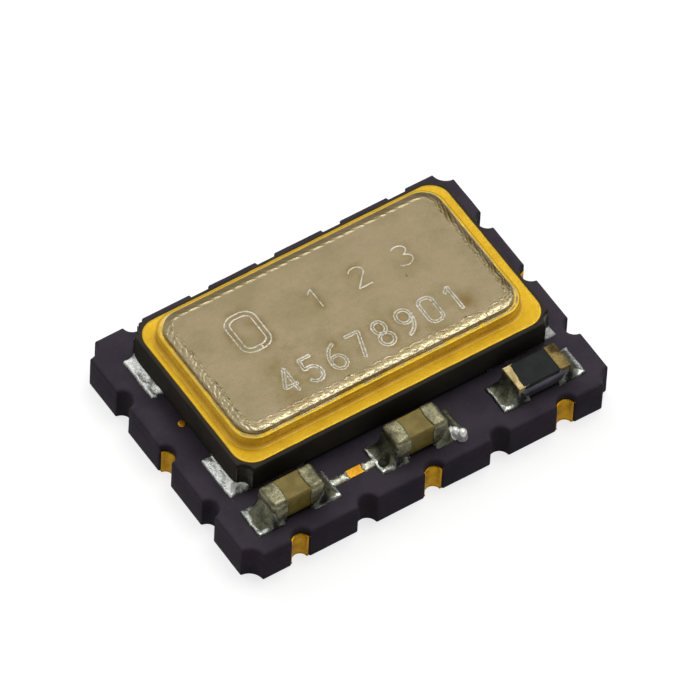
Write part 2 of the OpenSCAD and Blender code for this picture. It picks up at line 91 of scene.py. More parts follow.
class Slot(Enum):
    """Names of the module's material slots, which no piece here takes its finish from."""

    BASE = "base_ceramic"
    PACKAGE = "package_ceramic"
    GOLD = "gold_plate"
    LID = "lid_metal"
    SOLDER = "solder_tin"
    CAPACITOR = "capacitor_ceramic"
    RESISTOR = "resistor_ceramic"
    COAT = "resistor_coat"
    FILM = "terminal_film"


@dataclass(frozen=True)
class Box:
    """Box of a CAD node, in millimetres."""

    low: Array
    high: Array

    @classmethod
    def of(cls, node: str) -> "Box":
        """Measure a CAD node, given its name."""
        low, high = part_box(node)
        return cls(np.array(low) / MM, np.array(high) / MM)

    @property
    def size(self) -> Array:
        """Length, width and height."""
        return self.high - self.low

    @property
    def centre(self) -> Array:
        """Middle of the box."""
        return (self.high + self.low) / 2

    @property
    def footprint(self) -> Pair:
        """Length and width."""
        return float(self.size[0]), float(self.size[1])

    @property
    def middle(self) -> Pair:
        """Middle of the footprint."""
        return float(self.centre[0]), float(self.centre[1])

    @property
    def levels(self) -> Pair:
        """Heights of its underside and its top."""
        return float(self.low[2]), float(self.high[2])


def box_of(node: str) -> Box:
    """Field whose value is measured from a CAD node."""
    return field(default_factory=lambda: Box.of(node))


class Grain:
    """Smooth seeded noise in space, from about -1 to 1."""

    CELLS = 32

    def __init__(self, seed: int, pitch: float) -> None:
        """Fill the random lattice, whose points lie pitch millimetres apart."""
        self.lattice = np.random.default_rng(seed).uniform(-1, 1, (self.CELLS,) * 3)
        self.pitch = pitch

    def at(self, points: Array) -> Array:
        """Read the noise.

        Args:
            points: Places as an array whose last axis has three numbers.

        Returns:
            One value for each place.
        """
        scaled = points / self.pitch
        cell = np.floor(scaled).astype(int)
        part = scaled - cell
        part = part * part * (3 - 2 * part)
        total = np.zeros(points.shape[:-1])
        for corner in np.ndindex(2, 2, 2):
            weight = np.prod(np.where(corner, part, 1 - part), axis=-1)
            i, j, k = np.moveaxis((cell + corner) % self.CELLS, -1, 0)
            total += weight * self.lattice[i, j, k]
        return total


class Plan(Protocol):
    """A closed outline that keeps its number of points when it is inset."""

    def at(self, inset: float) -> Array:
        """Points of the outline, moved in by inset."""


@dataclass(frozen=True)
class RoundedRectangle:
    """Rectangle with round corners, anticlockwise from the lower end of its right side."""

    size: Pair
    radius: float
    centre: Pair = (0.0, 0.0)
    spacing: float = 0.1
    per_corner: int = 10

    def at(self, inset: float) -> Array:
        """Points of the outline.

        Args:
            inset: Distance that the outline is moved in.

        Returns:
            The points, one row each.
        """
        radius = max(self.radius - inset, SMALLEST_RADIUS)
        core = np.maximum(np.array(self.size) / 2 - inset - radius, 0)
        steps = [max(1, round((self.size[axis] - 2 * self.radius) / self.spacing)) for axis in (1, 0)]
        points: list[Array] = []
        last = np.array([core[0] + radius, -core[1]])
        for quarter, signs in enumerate([(1, 1), (-1, 1), (-1, -1), (1, -1)]):
            turn = (quarter + np.linspace(0, 1, self.per_corner + 1)) * math.pi / 2
            arc = core * signs + radius * np.stack([np.cos(turn), np.sin(turn)], -1)
            share = np.linspace(0, 1, steps[quarter % 2], endpoint=False)[:, None]
            points.append(last + (arc[0] - last) * share)
            points.append(arc[:-1])
            last = arc[-1]
        return np.concatenate(points) + self.centre


@dataclass(frozen=True)
class NotchedRectangle:
    """Rectangle with a round notch at each corner and at places along its sides.

    Where a notch meets a side, the edge between them is rounded by lip.
    """

    size: Pair
    corner_radius: float
    notch_radius: float = 0.0
    long_places: tuple[float, ...] = ()
    short_places: tuple[float, ...] = ()
    lip: float = 0.03
    centre: Pair = (0.0, 0.0)
    spacing: float = 0.09
    per_notch: int = 14
    per_lip: int = 4

    def at(self, inset: float) -> Array:
        """Points of the outline.

        Args:
            inset: Distance that the outline is moved in.

        Returns:
            The points, one row each, anticlockwise from the front left corner.
        """
        half = np.array(self.size) / 2
        corners = [(-1, -1), (1, -1), (1, 1), (-1, 1)]
        points = []
        for index, signs in enumerate(corners):
            start = half * signs
            end = half * corners[(index + 1) % 4]
            along = (end - start) / np.linalg.norm(end - start)
            inward = np.array([-along[1], along[0]])
            places = self.long_places if index % 2 == 0 else self.short_places
            local = self._side(float(np.linalg.norm(end - start)), sorted(places), inset)
            points.append(start + local[:, :1] * along + local[:, 1:] * inward)
        return np.concatenate(points) + self.centre

    def _side(self, length: float, places: Sequence[float], inset: float) -> Array:
        """One side from its start corner to the end of its end corner's notch.

        Args:
            length: Length of the side.
            places: Places of its notches, from its middle.
            inset: Distance that the outline is moved in.

        Returns:
            Points as distance along the side and distance in from it.
        """
        lip = max(self.lip - inset, SMALLEST_RADIUS)
        depth = inset + lip
        marks = [(0.0, self.corner_radius)]
        marks += [(length / 2 + place, self.notch_radius) for place in places]
        marks += [(length, self.corner_radius)]
        out: list[Array] = []
        for index, (place, radius) in enumerate(marks):
            reach = math.sqrt((radius + depth) ** 2 - depth**2)
            angle = math.atan2(depth, reach)
            if index > 0:
                before, before_radius = marks[index - 1]
                before_reach = math.sqrt((before_radius + depth) ** 2 - depth**2)
                run = place - before - radius - before_radius
                share = np.linspace(0, 1, max(2, round(run / self.spacing)) + 1)[1:-1]
                first = before + before_reach
                straight = first + (place - reach - first) * share
                out.append(np.stack([straight, np.full_like(straight, inset)], -1))
                out.append(self._arc((place - reach, depth), lip, -math.pi / 2, -angle))
                turn = angle if index < len(marks) - 1 else math.pi / 2 + angle
                arc = self._arc((place, 0.0), radius + inset, math.pi - angle, turn, self.per_notch)
                out.append(arc[1:-1])
            if index < len(marks) - 1:
                out.append(self._arc((place + reach, depth), lip, angle - math.pi, -math.pi / 2))
        return np.concatenate(out)

    def _arc(self, centre: Pair, radius: float, start: float, end: float, steps: int = 0) -> Array:
        """Points of an arc with both its ends, in as many steps as a lip unless steps says more."""
        turn = np.linspace(start, end, (steps or self.per_lip) + 1)
        return np.array(centre) + radius * np.stack([np.cos(turn), np.sin(turn)], -1)


def rings(plan: Plan, profile: Profile) -> Array:
    """Run a profile round an outline.

    Args:
        plan: The outline.
        profile: Pairs of inset and height, in order.

    Returns:
        Points with one ring for each pair.
    """
    out = []
    for inset, height in profile:
        flat = plan.at(inset)
        out.append(np.column_stack([flat, np.full(len(flat), height)]))
    return np.array(out)


def quarter_round(inset: float, height: float, radius: float, steps: int = 5) -> Profile:
    """Profile of a rounded upper edge, from its wall at inset to its top at height."""
    turn = np.linspace(0, math.pi / 2, steps + 1)
    return [(inset + radius * (1 - math.cos(a)), height - radius * (1 - math.sin(a))) for a in turn]


class Draft:
    """Points and faces of one piece, gathered in millimetres."""

    def __init__(self) -> None:
        """Start with nothing."""
        self.points: list[Array] = []
        self.faces: list[tuple[int, ...]] = []
        self.slots: list[int] = []
        self.count = 0

    def add(self, points: Array) -> Array:
        """Add points.

        Args:
            points: Places as an array whose last axis has three numbers.

        Returns:
            The points' numbers in an array of the same layout.
        """
        flat = points.reshape(-1, 3)
        numbers = np.arange(self.count, self.count + len(flat)).reshape(points.shape[:-1])
        self.points.append(flat)
        self.count += len(flat)
        return numbers

    def skin(self, numbers: Array, around: bool = True, slot: int = 0) -> None:
        """Join rows of points with four-sided faces.

        Args:
            numbers: Numbers of the points, by row and column.
            around: Whether each row closes on itself.
            slot: Material slot of the faces.
        """
        rows, columns = numbers.shape
        last = columns if around else columns - 1
        for i in range(rows - 1):
            low, high = numbers[i], numbers[i + 1]
            for j in range(last):
                k = (j + 1) % columns
                self.faces.append((low[j], low[k], high[k], high[j]))
                self.slots.append(slot)

    def fill(self, loops: Sequence[Array], up: bool, slot: int = 0) -> None:
        """Fill a flat outline, whose later loops are holes in it.

        Args:
            loops: Numbers of the points of each loop.
            up: Whether the face looks up.
            slot: Material slot of the faces.
        """
        places = np.concatenate(self.points)
        order = np.concatenate(loops)
        rows = [[Vector(places[number]) for number in loop] for loop in loops]
        for triangle in tessellate_polygon(rows):
            a, b, c = (int(order[index]) for index in triangle)
            normal = np.cross(places[b] - places[a], places[c] - places[a])
            if (normal[2] > 0) != up:
                b, c = c, b
            self.faces.append((a, b, c))
            self.slots.append(slot)

    def close(self, loop: Array, flip: bool = False) -> None:
        """Close a ring with a fan to its middle.

        Args:
            loop: Numbers of the ring's points.
            flip: Whether the fan's faces are turned over.
        """
        places = np.concatenate(self.points)
        middle = int(self.add(places[loop].mean(0)[None])[0])
        for i, a in enumerate(loop):
            b = loop[(i + 1) % len(loop)]
            self.faces.append((middle, b, a) if flip else (middle, a, b))
            self.slots.append(0)

    def make(
        self,
        name: str,
        looks: Sequence["Look"],
        nodes: Sequence[str],
        crease: float = 35.0,
    ) -> bpy.types.Object:
        """Turn the draft into a piece that rides on the module.

        Args:
            name: Name of the piece.
            looks: Finishes, in the order of the faces' slots.
            nodes: CAD nodes that the piece stands for.
            crease: Angle in degrees above which an edge stays sharp.

        Returns:
            The piece.
        """
        mesh = bpy.data.meshes.new(name)
        places = np.concatenate(self.points) * MM
        faces = [tuple(int(number) for number in face) for face in self.faces]
        mesh.from_pydata(places.tolist(), [], faces)
        for look in looks:
            mesh.materials.append(look.material())
        mesh.polygons.foreach_set("material_index", self.slots)
        mesh.polygons.foreach_set("use_smooth", [True] * len(faces))
        mesh.update()
        mesh.set_sharp_from_angle(angle=math.radians(crease))
        piece = bpy.data.objects.new(name, mesh)
        bpy.context.scene.collection.objects.link(piece)
        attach(piece, BODY)
        if nodes:
            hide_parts(*nodes)
        LOG.info("%s: %d faces", name, len(faces))
        return piece


Socket = bpy.types.NodeSocket
Value = Socket | float


class Nodes:
    """Node tree of a material or of the room, with short calls for the nodes that both use."""

    def __init__(self, tree: bpy.types.NodeTree) -> None:
        """Take the tree."""
        self.tree = tree

    def link(self, socket: Socket, value: Value | Colour) -> None:
        """Set an input, or link it to an output.

        Args:
            socket: The input.
            value: A number, a colour or an output.
        """
        if isinstance(value, bpy.types.NodeSocket):
            self.tree.links.new(value, socket)
        elif isinstance(value, tuple):
            socket.default_value = (*value, 1.0) if len(socket.default_value) == 4 else value
        else:
            socket.default_value = value

    def span(
        self, value: Socket, low: float, high: float, start: Value, end: Value, smooth: bool = True
    ) -> Socket:
        """Turn one span of values into another, held at its ends.

        Args:
            value: The value.
            low: Value that becomes start.
            high: Value that becomes end.
            start: Result at low.
            end: Result at high.
            smooth: Whether the ends run in softly.

        Returns:
            The result.
        """
        node = self.tree.nodes.new("ShaderNodeMapRange")
        node.interpolation_type = "SMOOTHSTEP" if smooth else "LINEAR"
        for name, number in zip(
            ("Value", "From Min", "From Max", "To Min", "To Max"), (value, low, high, start, end)
        ):
            self.link(node.inputs[name], number)
        return node.outputs["Result"]

    def mixed(self, share: Value, first: Value | Colour, second: Value | Colour) -> Socket:
        """Mix two colours.

        Args:
            share: Share of the second colour.
            first: First colour.
            second: Second colour.

        Returns:
            The mixed colour.
        """
        node = self.tree.nodes.new("ShaderNodeMix")
        node.data_type = "RGBA"
        self.link(node.inputs["Factor"], share)
        self.link(node.inputs[6], first)
        self.link(node.inputs[7], second)
        return node.outputs[2]

    def worked(self, operation: str, first: Value, second: Value) -> Socket:
        """Join two values by arithmetic.

        Args:
            operation: Name of the operation.
            first: First value.
            second: Second value.

        Returns:
            The result.
        """
        node = self.tree.nodes.new("ShaderNodeMath")
        node.operation = operation
        self.link(node.inputs[0], first)
        self.link(node.inputs[1], second)
        return node.outputs[0]


class Finish(Nodes):
    """Node tree of one material, whose patterns are laid out in millimetres on the module."""

    def __init__(self, name: str) -> None:
        """Start the material.

        Args:
            name: Name of the material.
        """
        self.material = bpy.data.materials.new(name)
        self.material.use_nodes = True
        super().__init__(self.material.node_tree)
        self.shader = self.tree.nodes["Principled BSDF"]
        place = self.tree.nodes.new("ShaderNodeTexCoord")
        self.place = self.stretched(place.outputs["Object"], (1 / MM, 1 / MM, 1 / MM))

    def stretched(self, vector: Socket, scale: Triple) -> Socket:
        """Stretch coordinates.

        Args:
            vector: The coordinates.
            scale: Scale along X, Y and Z.

        Returns:
            The new coordinates.
        """
        node = self.tree.nodes.new("ShaderNodeMapping")
        node.inputs["Scale"].default_value = scale
        self.link(node.inputs["Vector"], vector)
        return node.outputs["Vector"]

    def noise(
        self, scale: float, detail: float = 3.0, rough: float = 0.55, vector: Socket | None = None
    ) -> Socket:
        """Cloudy noise from 0 to 1.

        Args:
            scale: Clouds for each millimetre.
            detail: Number of finer layers.
            rough: Weight of the finer layers.
            vector: Coordinates, or None for the module's own.

        Returns:
            The noise's value.
        """
        node = self.tree.nodes.new("ShaderNodeTexNoise")
        self.link(node.inputs["Vector"], vector or self.place)
        for name, number in (("Scale", scale), ("Detail", detail), ("Roughness", rough)):
            self.link(node.inputs[name], number)
        return node.outputs["Fac"]

    def part(self, axis: str) -> Socket:
        """One coordinate of the module.

        Args:
            axis: Its letter.

        Returns:
            The coordinate in millimetres.
        """
        node = self.tree.nodes.new("ShaderNodeSeparateXYZ")
        self.link(node.inputs[0], self.place)
        return node.outputs[axis]

    def facing(self) -> Socket:
        """How far a surface looks up.

        Returns:
            A number from -1 to 1.
        """
        geometry = self.tree.nodes.new("ShaderNodeNewGeometry")
        node = self.tree.nodes.new("ShaderNodeSeparateXYZ")
        self.link(node.inputs[0], geometry.outputs["Normal"])
        return node.outputs["Z"]

    def painted(self, attribute: str) -> Socket:
        """Value that the mesh carries.

        Args:
            attribute: Name of the value.

        Returns:
            The value.
        """
        node = self.tree.nodes.new("ShaderNodeAttribute")
        node.attribute_name = attribute
        return node.outputs["Fac"]

    def bump(self, layers: Sequence[tuple[Socket, float]]) -> None:
        """Raise the surface by layers.

        Args:
            layers: Heights from 0 to 1, each with its full height in millimetres.
        """
        normal: Socket | None = None
        for height, distance in layers:
            node = self.tree.nodes.new("ShaderNodeBump")
            self.link(node.inputs["Height"], height)
            self.link(node.inputs["Distance"], distance * MM)
            if normal is not None:
                self.link(node.inputs["Normal"], normal)
            normal = node.outputs["Normal"]
        if normal is not None:
            self.link(self.shader.inputs["Normal"], normal)

    def dress(self, **inputs: Value | Colour) -> None:
        """Set the shader's inputs.

        Args:
            **inputs: Values by the input's name, with low lines for spaces.
        """
        names = {socket.name.lower().replace(" ", "_"): socket for socket in self.shader.inputs}
        for name, value in inputs.items():
            self.link(names[name], value)


def tint(red: int, green: int, blue: int) -> Colour:
    """Colour in linear light, from the numbers from 0 to 255 that a screen shows."""
    shares = (part / 255 for part in (red, green, blue))
    return tuple(part / 12.92 if part <= 0.04045 else ((part + 0.055) / 1.055) ** 2.4 for part in shares)


@dataclass(frozen=True)
class FiredCeramic:
    """Dark fired ceramic with soft clouds, a fine grain and a few pale specks."""

    colour: Colour
    cloud: Colour
    speck: Colour = tint(120, 112, 112)
    roughness: float = 0.6

    def lay(self, finish: Finish) -> None:
        """Lay the nodes.

        Args:
            finish: The material that takes them.
        """
        clouds = finish.span(finish.noise(1.6, 4.0), 0.35, 0.65, 0.0, 1.0)
        grain = finish.noise(70.0, 3.0, 0.65)
        body = finish.mixed(clouds, self.colour, self.cloud)
        pores = finish.span(finish.noise(45.0, 2.0), 0.66, 0.76, 0.0, 0.55)
        body = finish.mixed(pores, body, self.speck)
        shine = finish.span(grain, 0.3, 0.7, self.roughness - 0.06, self.roughness + 0.1)
        finish.bump([(finish.noise(5.0, 2.0), 0.004), (grain, 0.0016)])
        finish.dress(base_color=body, roughness=shine, specular_ior_level=0.02)


@dataclass(frozen=True)
class GoldPlate:
    """Plated gold with darker patches, a fine grain and, if wanted, slanted streaks."""

    colour: Colour
    patch: Colour
    roughness: float = 0.34
    grain: float = 0.0012
    streaks: float = 0.0
    streak_scale: Triple = (6.0, 6.0, 36.0)
    patch_share: float = 0.6
    metallic: float = 1.0

    def lay(self, finish: Finish) -> None:
        """Lay the nodes.

        Args:
            finish: The material that takes them.
        """
        patches = finish.span(finish.noise(3.2, 5.0, 0.6), 0.4, 0.66, 0.0, self.patch_share)
        speckle = finish.span(finish.noise(26.0, 3.0, 0.7), 0.5, 0.7, 0.0, 0.55)
        body = finish.mixed(patches, self.colour, self.patch)
        body = finish.mixed(speckle, body, self.patch)
        fine = finish.noise(60.0, 4.0, 0.7)
        layers = [(finish.noise(9.0, 3.0), 0.8 * self.grain), (fine, self.grain)]
        if self.streaks:
            lines = finish.noise(1.0, 3.0, 0.6, finish.stretched(finish.place, self.streak_scale))
            layers.append((lines, self.streaks))
            body = finish.mixed(finish.span(lines, 0.5, 0.7, 0.0, 0.5), body, self.patch)
        finish.bump(layers)
        shine = finish.span(fine, 0.3, 0.7, self.roughness - 0.08, self.roughness + 0.12)
        finish.dress(base_color=body, metallic=self.metallic, roughness=shine)


@dataclass(frozen=True)
class SatinLid:
    """Plated sheet metal with a fine grain, stained where heat has reached it, with painted shade in the
    stain and a painted sheen in the weld colour along the seam weld.
    """

    colour: Colour
    stain: Colour
    cloud: Colour
    roughness: float = 0.36
    weld: Colour = tint(178, 167, 136)
    weld_roughness: float = 0.27

    def lay(self, finish: Finish) -> None:
        """Lay the nodes.

        Args:
            finish: The material that takes them.
        """
        clouds = finish.span(finish.noise(1.3, 4.0, 0.55), 0.38, 0.64, 0.0, 0.8)
        body = finish.mixed(clouds, self.colour, self.cloud)
        dust = finish.span(finish.noise(48.0, 2.0, 0.7), 0.5, 0.74, 0.0, 0.5)
        body = finish.mixed(dust, body, self.cloud)
        # Stain: heat stain near the marking and along the weld, plus painted shade on the weld's back
        # and right sides and in its troughs.
        heat = finish.worked(
            "MULTIPLY", finish.painted(STAIN_AND_SHADE), finish.span(finish.noise(4.0), 0.3, 0.6, 0.6, 1.0)
        )
        # Weld colour: plain weld metal, strongest on the weld's front side and its bead as a painted
        # sheen.
        welded = finish.painted(WELD_AND_SHEEN)
        body = finish.mixed(welded, body, self.weld)
        body = finish.mixed(heat, body, self.stain)
        fine = finish.noise(85.0, 4.0, 0.75)
        pits = finish.span(finish.noise(38.0, 2.0), 0.62, 0.74, 1.0, 0.0)
        finish.bump([(finish.noise(2.2, 2.0), 0.006), (fine, 0.0015), (pits, 0.0014)])
        shine = finish.span(fine, 0.3, 0.7, self.roughness - 0.07, self.roughness + 0.12)
        polish = finish.worked("MULTIPLY", welded, self.weld_roughness - self.roughness)
        shine = finish.worked("ADD", shine, polish)
        finish.dress(base_color=body, metallic=1.0, roughness=shine)


@dataclass(frozen=True)
class TinSolder:
    """Bright solder with a frosted grain, and darker flux-stained hollows; the darker colour also lays
    painted shade on its sloping sides where asked.
    """

    colour: Colour
    stain_and_shade_colour: Colour
    roughness: float = 0.3
    grain: float = 0.004
    steep_shade: float = 0.0
    metallic: float = 1.0

    def lay(self, finish: Finish) -> None:
        """Lay the nodes.

        Args:
            finish: The material that takes them.
        """
        stain = finish.span(finish.noise(5.5, 4.0, 0.6), 0.42, 0.66, 0.0, 0.8)
        pits = finish.span(finish.noise(38.0, 3.0, 0.7), 0.46, 0.66, 0.0, 0.75)
        body = finish.mixed(stain, self.colour, self.stain_and_shade_colour)
        body = finish.mixed(pits, body, self.stain_and_shade_colour)
        # Painted shade: surfaces that face away from straight up take the darker colour.
        if self.steep_shade:
            wall = finish.span(finish.facing(), 0.5, 0.88, self.steep_shade, 0.0)
            body = finish.mixed(wall, body, self.stain_and_shade_colour)
        frost = finish.noise(42.0, 4.0, 0.7)
        finish.bump([(finish.noise(14.0, 2.0), self.grain * 0.7), (frost, self.grain * 0.5)])
        shine = finish.span(frost, 0.3, 0.7, self.roughness - 0.1, self.roughness + 0.16)
        finish.dress(base_color=body, metallic=self.metallic, roughness=shine)


@dataclass(frozen=True)
class ChipBody:
    """Ceramic or moulded body of a chip, cloudy and faintly grained, with painted shade towards its foot
    where a foot colour is given.
    """

    colour: Colour
    cloud: Colour
    roughness: float = 0.42
    soft: float = 0.0
    gloss: float = 0.5
    # Colour of the painted shade at the chip's foot, or None for no painted shade; the two heights below
    # say where it is full and where it ends.
    foot: Colour | None = None
    shade_from: float = 0.72
    shade_to: float = 0.86

    def lay(self, finish: Finish) -> None:
        """Lay the nodes.

        Args:
            finish: The material that takes them.
        """
        clouds = finish.span(finish.noise(5.0, 4.0, 0.6), 0.35, 0.65, 0.0, 1.0)
        grain = finish.noise(80.0, 3.0, 0.7)
        body = finish.mixed(clouds, self.colour, self.cloud)
        # Painted shade: the body darkens towards its lowest part, with a wavy upper edge.
        if self.foot is not None:
            wavy = finish.worked("ADD", finish.part("Z"), finish.span(clouds, 0.0, 1.0, -0.02, 0.02))
            low = finish.span(wavy, self.shade_from, self.shade_to, 0.85, 0.0)
            body = finish.mixed(low, body, self.foot)
        finish.bump([(finish.noise(12.0, 2.0), 0.003), (grain, 0.0012)])
        shine = finish.span(grain, 0.3, 0.7, self.roughness - 0.08, self.roughness + 0.12)
        finish.dress(
            base_color=body,
            roughness=shine,
            specular_ior_level=self.gloss,
            subsurface_weight=self.soft,
            subsurface_scale=0.0001,
        )


@dataclass(frozen=True)
class ClearQuartz:
    """Polished clear quartz with a faint haze."""

    colour: Colour
    cloud: Colour

    def lay(self, finish: Finish) -> None:
        """Lay the nodes.

        Args:
            finish: The material that takes them.
        """
        haze = finish.span(finish.noise(6.0), 0.4, 0.7, 0.04, 0.16)
        body = finish.mixed(haze, self.colour, self.cloud)
        finish.bump([(finish.noise(20.0), 0.0008)])
        finish.dress(base_color=body, roughness=haze, transmission_weight=0.9, ior=1.54)


class Look(Enum):
    """Finishes of the module's pieces."""

    BASE = FiredCeramic(tint(67, 60, 69), tint(59, 53, 62))
    PACKAGE = FiredCeramic(tint(54, 51, 47), tint(62, 57, 51), speck=tint(100, 92, 84))
    BRIGHT_GOLD = GoldPlate(
        tint(197, 162, 50), tint(181, 142, 38), roughness=0.46, grain=0.0007, patch_share=0.5
    )
    # Outer wall of the seal ring: paler and less metallic than its top, as painted light against the
    # wall's dark reflections.
    RING_WALL = GoldPlate(
        tint(238, 210, 100), tint(216, 182, 74), roughness=0.3, grain=0.0007, patch_share=0.4,
        streaks=0.0008, streak_scale=(34.0, 34.0, 3.0), metallic=0.75,
    )
    # Ring top beside the lid: darker patches for heat tint, on a tint lightened as painted light against
    # the groove's shade.
    SCORCHED_GOLD = GoldPlate(tint(210, 178, 84), tint(164, 134, 60), roughness=0.42, grain=0.003)
    RIM_GOLD = GoldPlate(tint(202, 165, 44), tint(186, 146, 34), roughness=0.5, grain=0.0007)
    # Braze fillet at the ring's foot: paler and less metallic, as painted light against the shade in
    # that corner.
    BRAZE = GoldPlate(tint(238, 194, 66), tint(216, 168, 48), roughness=0.6, grain=0.0007, metallic=0.45)
    NOTCH_GOLD = GoldPlate(
        tint(180, 137, 14), tint(132, 92, 8), roughness=0.48, grain=0.0016, streaks=0.004
    )
    PRINTED_GOLD = GoldPlate(tint(216, 160, 48), tint(176, 124, 30), roughness=0.42, grain=0.0024)
    # Lid: its stain colour serves both for real heat stains and for the painted shade along the weld.
    LID = SatinLid(tint(139, 126, 100), tint(100, 78, 30), cloud=tint(128, 117, 87))
    MARK = SatinLid(tint(178, 174, 162), tint(160, 146, 112), cloud=tint(150, 145, 128))
    # Joint solder: its sloping sides darken as painted shade.
    SOLDER = TinSolder(tint(214, 217, 210), tint(78, 82, 72), roughness=0.28, grain=0.003, steep_shade=0.9)
    TINNING = TinSolder(tint(224, 226, 222), tint(160, 162, 156), roughness=0.32, grain=0.003)
    # Solder of the ball beside a joint: whiter and less metallic than the joint's, as painted light.
    DROP = TinSolder(
        tint(250, 251, 246), tint(238, 240, 232), roughness=0.26, grain=0.001, metallic=0.45
    )
    FLUX = TinSolder(tint(128, 128, 108), tint(70, 70, 58), roughness=0.48, grain=0.003)
    PIT = TinSolder(tint(58, 60, 52), tint(36, 38, 33), roughness=0.5, grain=0.003)
    RUN_OUT = TinSolder(tint(178, 178, 164), tint(112, 112, 100), roughness=0.38, grain=0.005)
    # Dark tin of the package's corner terminals: painted shade, as they stand in the package's shadow.
    OLD_TIN = TinSolder(tint(96, 92, 84), tint(60, 57, 50), roughness=0.42, grain=0.004)
    END_CAP = TinSolder(tint(142, 138, 110), tint(76, 74, 58), roughness=0.42, grain=0.005)
    # Capacitor: its lower part darkens to the foot colour as painted shade.
    CAPACITOR = ChipBody(
        tint(134, 118, 48), tint(114, 98, 30), soft=0.15, gloss=0.3, foot=tint(96, 81, 42)
    )
    # Resistor substrate: its lower part darkens almost to black as painted shade under the chip.
    SUBSTRATE = ChipBody(
        tint(128, 124, 140), tint(108, 104, 118), foot=tint(34, 31, 36), shade_from=0.82, shade_to=0.91
    )
    COAT = ChipBody(tint(36, 41, 39), tint(29, 34, 32), roughness=0.4, gloss=0.1)
    FILM = GoldPlate(
        tint(192, 174, 126), tint(118, 104, 62), roughness=0.42, grain=0.004, patch_share=0.9
    )
    DARK_FILM = GoldPlate(
        tint(132, 114, 70), tint(62, 52, 30), roughness=0.45, grain=0.004, patch_share=1.0
    )
    QUARTZ = ClearQuartz(tint(236, 242, 242), tint(200, 212, 214))
    SILVER = TinSolder(tint(226, 222, 212), tint(180, 174, 160))
    ADHESIVE = ChipBody(tint(150, 150, 144), tint(118, 118, 112))
    SILICON = ChipBody(tint(74, 78, 88), tint(60, 62, 70), roughness=0.2)
    UNDERFILL = ChipBody(tint(108, 98, 86), tint(84, 76, 66), roughness=0.5)

    @cache
    def material(self) -> bpy.types.Material:
        """Build the finish's material, when it is first asked for.

        Returns:
            The material.
        """
        finish = Finish(self.name.lower().replace("_", " "))
        self.value.lay(finish)
        return finish.material


def dress_node(node: str, look: Look) -> None:
    """Give a CAD node that stays its finish.

    Args:
        node: Name of the node.
        look: Its finish.
    """
    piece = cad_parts[node]
    if not piece.material_slots:
        piece.data.materials.append(look.material())
    for place in piece.material_slots:
        place.material = look.material()


def wavering(points: Array, seed: int, pitch: float, height: float) -> Array:
    """Move points a little along X and Y, as on a fired or plated edge.

    Args:
        points: The points.
        seed: Seed of the noise.
        pitch: Size of its waves.
        height: Height of its waves.

    Returns:
        The moved points.
    """
    out = points.copy()
    out[..., 0] += height * Grain(seed, pitch).at(points)
    out[..., 1] += height * Grain(seed + 1, pitch).at(points)
    return out


def plate(draft: Draft, plan: Plan, low: float, high: float, edge: float, crown: float = 0.0) -> None:
    """Add a flat plate with a rounded upper edge.

    Args:
        draft: Draft that takes the plate.
        plan: Its outline.
        low: Height of its underside.
        high: Height of its top.
        edge: Radius of its upper edge.
        crown: How much higher its middle is than its edge.
    """
    profile = [(0.0, low)] + quarter_round(0.0, high - crown, edge)
    profile += [(edge * 1.5, high - crown * 0.4), (edge * 2.5, high)]
    numbers = draft.add(rings(plan, profile))
    draft.skin(numbers)
    draft.fill([numbers[-1]], up=True)
    draft.fill([numbers[0]], up=False)


@dataclass
class CeramicBase:
    """Notched ceramic base: rounded upper edges, a seam under its top layer and a chip recess."""

    box: Box = box_of("base_ceramic")
    die: Box = box_of("circuit_die")
    bumps: Box = box_of("die_bumps")
    notch_pitch: float = 1.27
    notch_radius: float = 0.16
    corner_radius: float = 0.24
    edge_radius: float = 0.06
    top_layer: float = 0.14
    seam: float = 0.002
    recess_gap: float = 0.25
    recess_round: float = 0.02
    growth: float = 0.014
    foot: float = 0.012

    def plan(self) -> NotchedRectangle:
        """Outline of the base.

        Returns:
            The outline.
        """
        length, width = (float(side) + 2 * self.growth for side in self.box.size[:2])
        return NotchedRectangle(
            size=(length, width),
            corner_radius=self.corner_radius + self.growth,
            notch_radius=self.notch_radius + self.growth,
            long_places=tuple(step * self.notch_pitch for step in (-2, -1, 0, 1, 2)),
            short_places=tuple(step * self.notch_pitch for step in (-1, 0, 1)),
        )

    def profile(self) -> Profile:
        """Profile of the side, from the underside to the top.

        Returns:
            Pairs of inset and height.
        """
        low, high = self.box.low[2] - self.foot, self.box.high[2]
        line = high - self.top_layer
        side = [(0.012, low), (0.004, low + 0.006), (0.0, low + 0.02), (0.0, (low + line) / 2)]
        side += [(0.0, line - 0.012), (self.seam, line - 0.002), (self.seam * 0.6, line + 0.006)]
        side += [(0.001, line + 0.02)]
        side += quarter_round(0.001, high, self.edge_radius, 7)
        return side + [(self.edge_radius + 0.03, high)]

    def build(self) -> None:
        """Make the base."""
        draft = Draft()
        shell = wavering(rings(self.plan(), self.profile()), seed=11, pitch=0.35, height=0.003)
        shell[-1, :, 2] = self.box.high[2]
        numbers = draft.add(shell)
        draft.skin(numbers)
        opening = self.die.size[:2] + 2 * self.recess_gap
        recess = RoundedRectangle(
            tuple(opening), self.recess_round, self.die.middle, spacing=0.4, per_corner=2
        )
        hollow = draft.add(rings(recess, [(0.0, self.box.high[2]), (0.0, self.bumps.low[2])]))
        draft.fill([numbers[-1], hollow[0]], up=True)
        draft.skin(hollow)
        draft.fill([hollow[1]], up=True)
        draft.fill([numbers[0]], up=False)
        draft.make("ceramic_base", [Look.BASE], ["base_ceramic"])


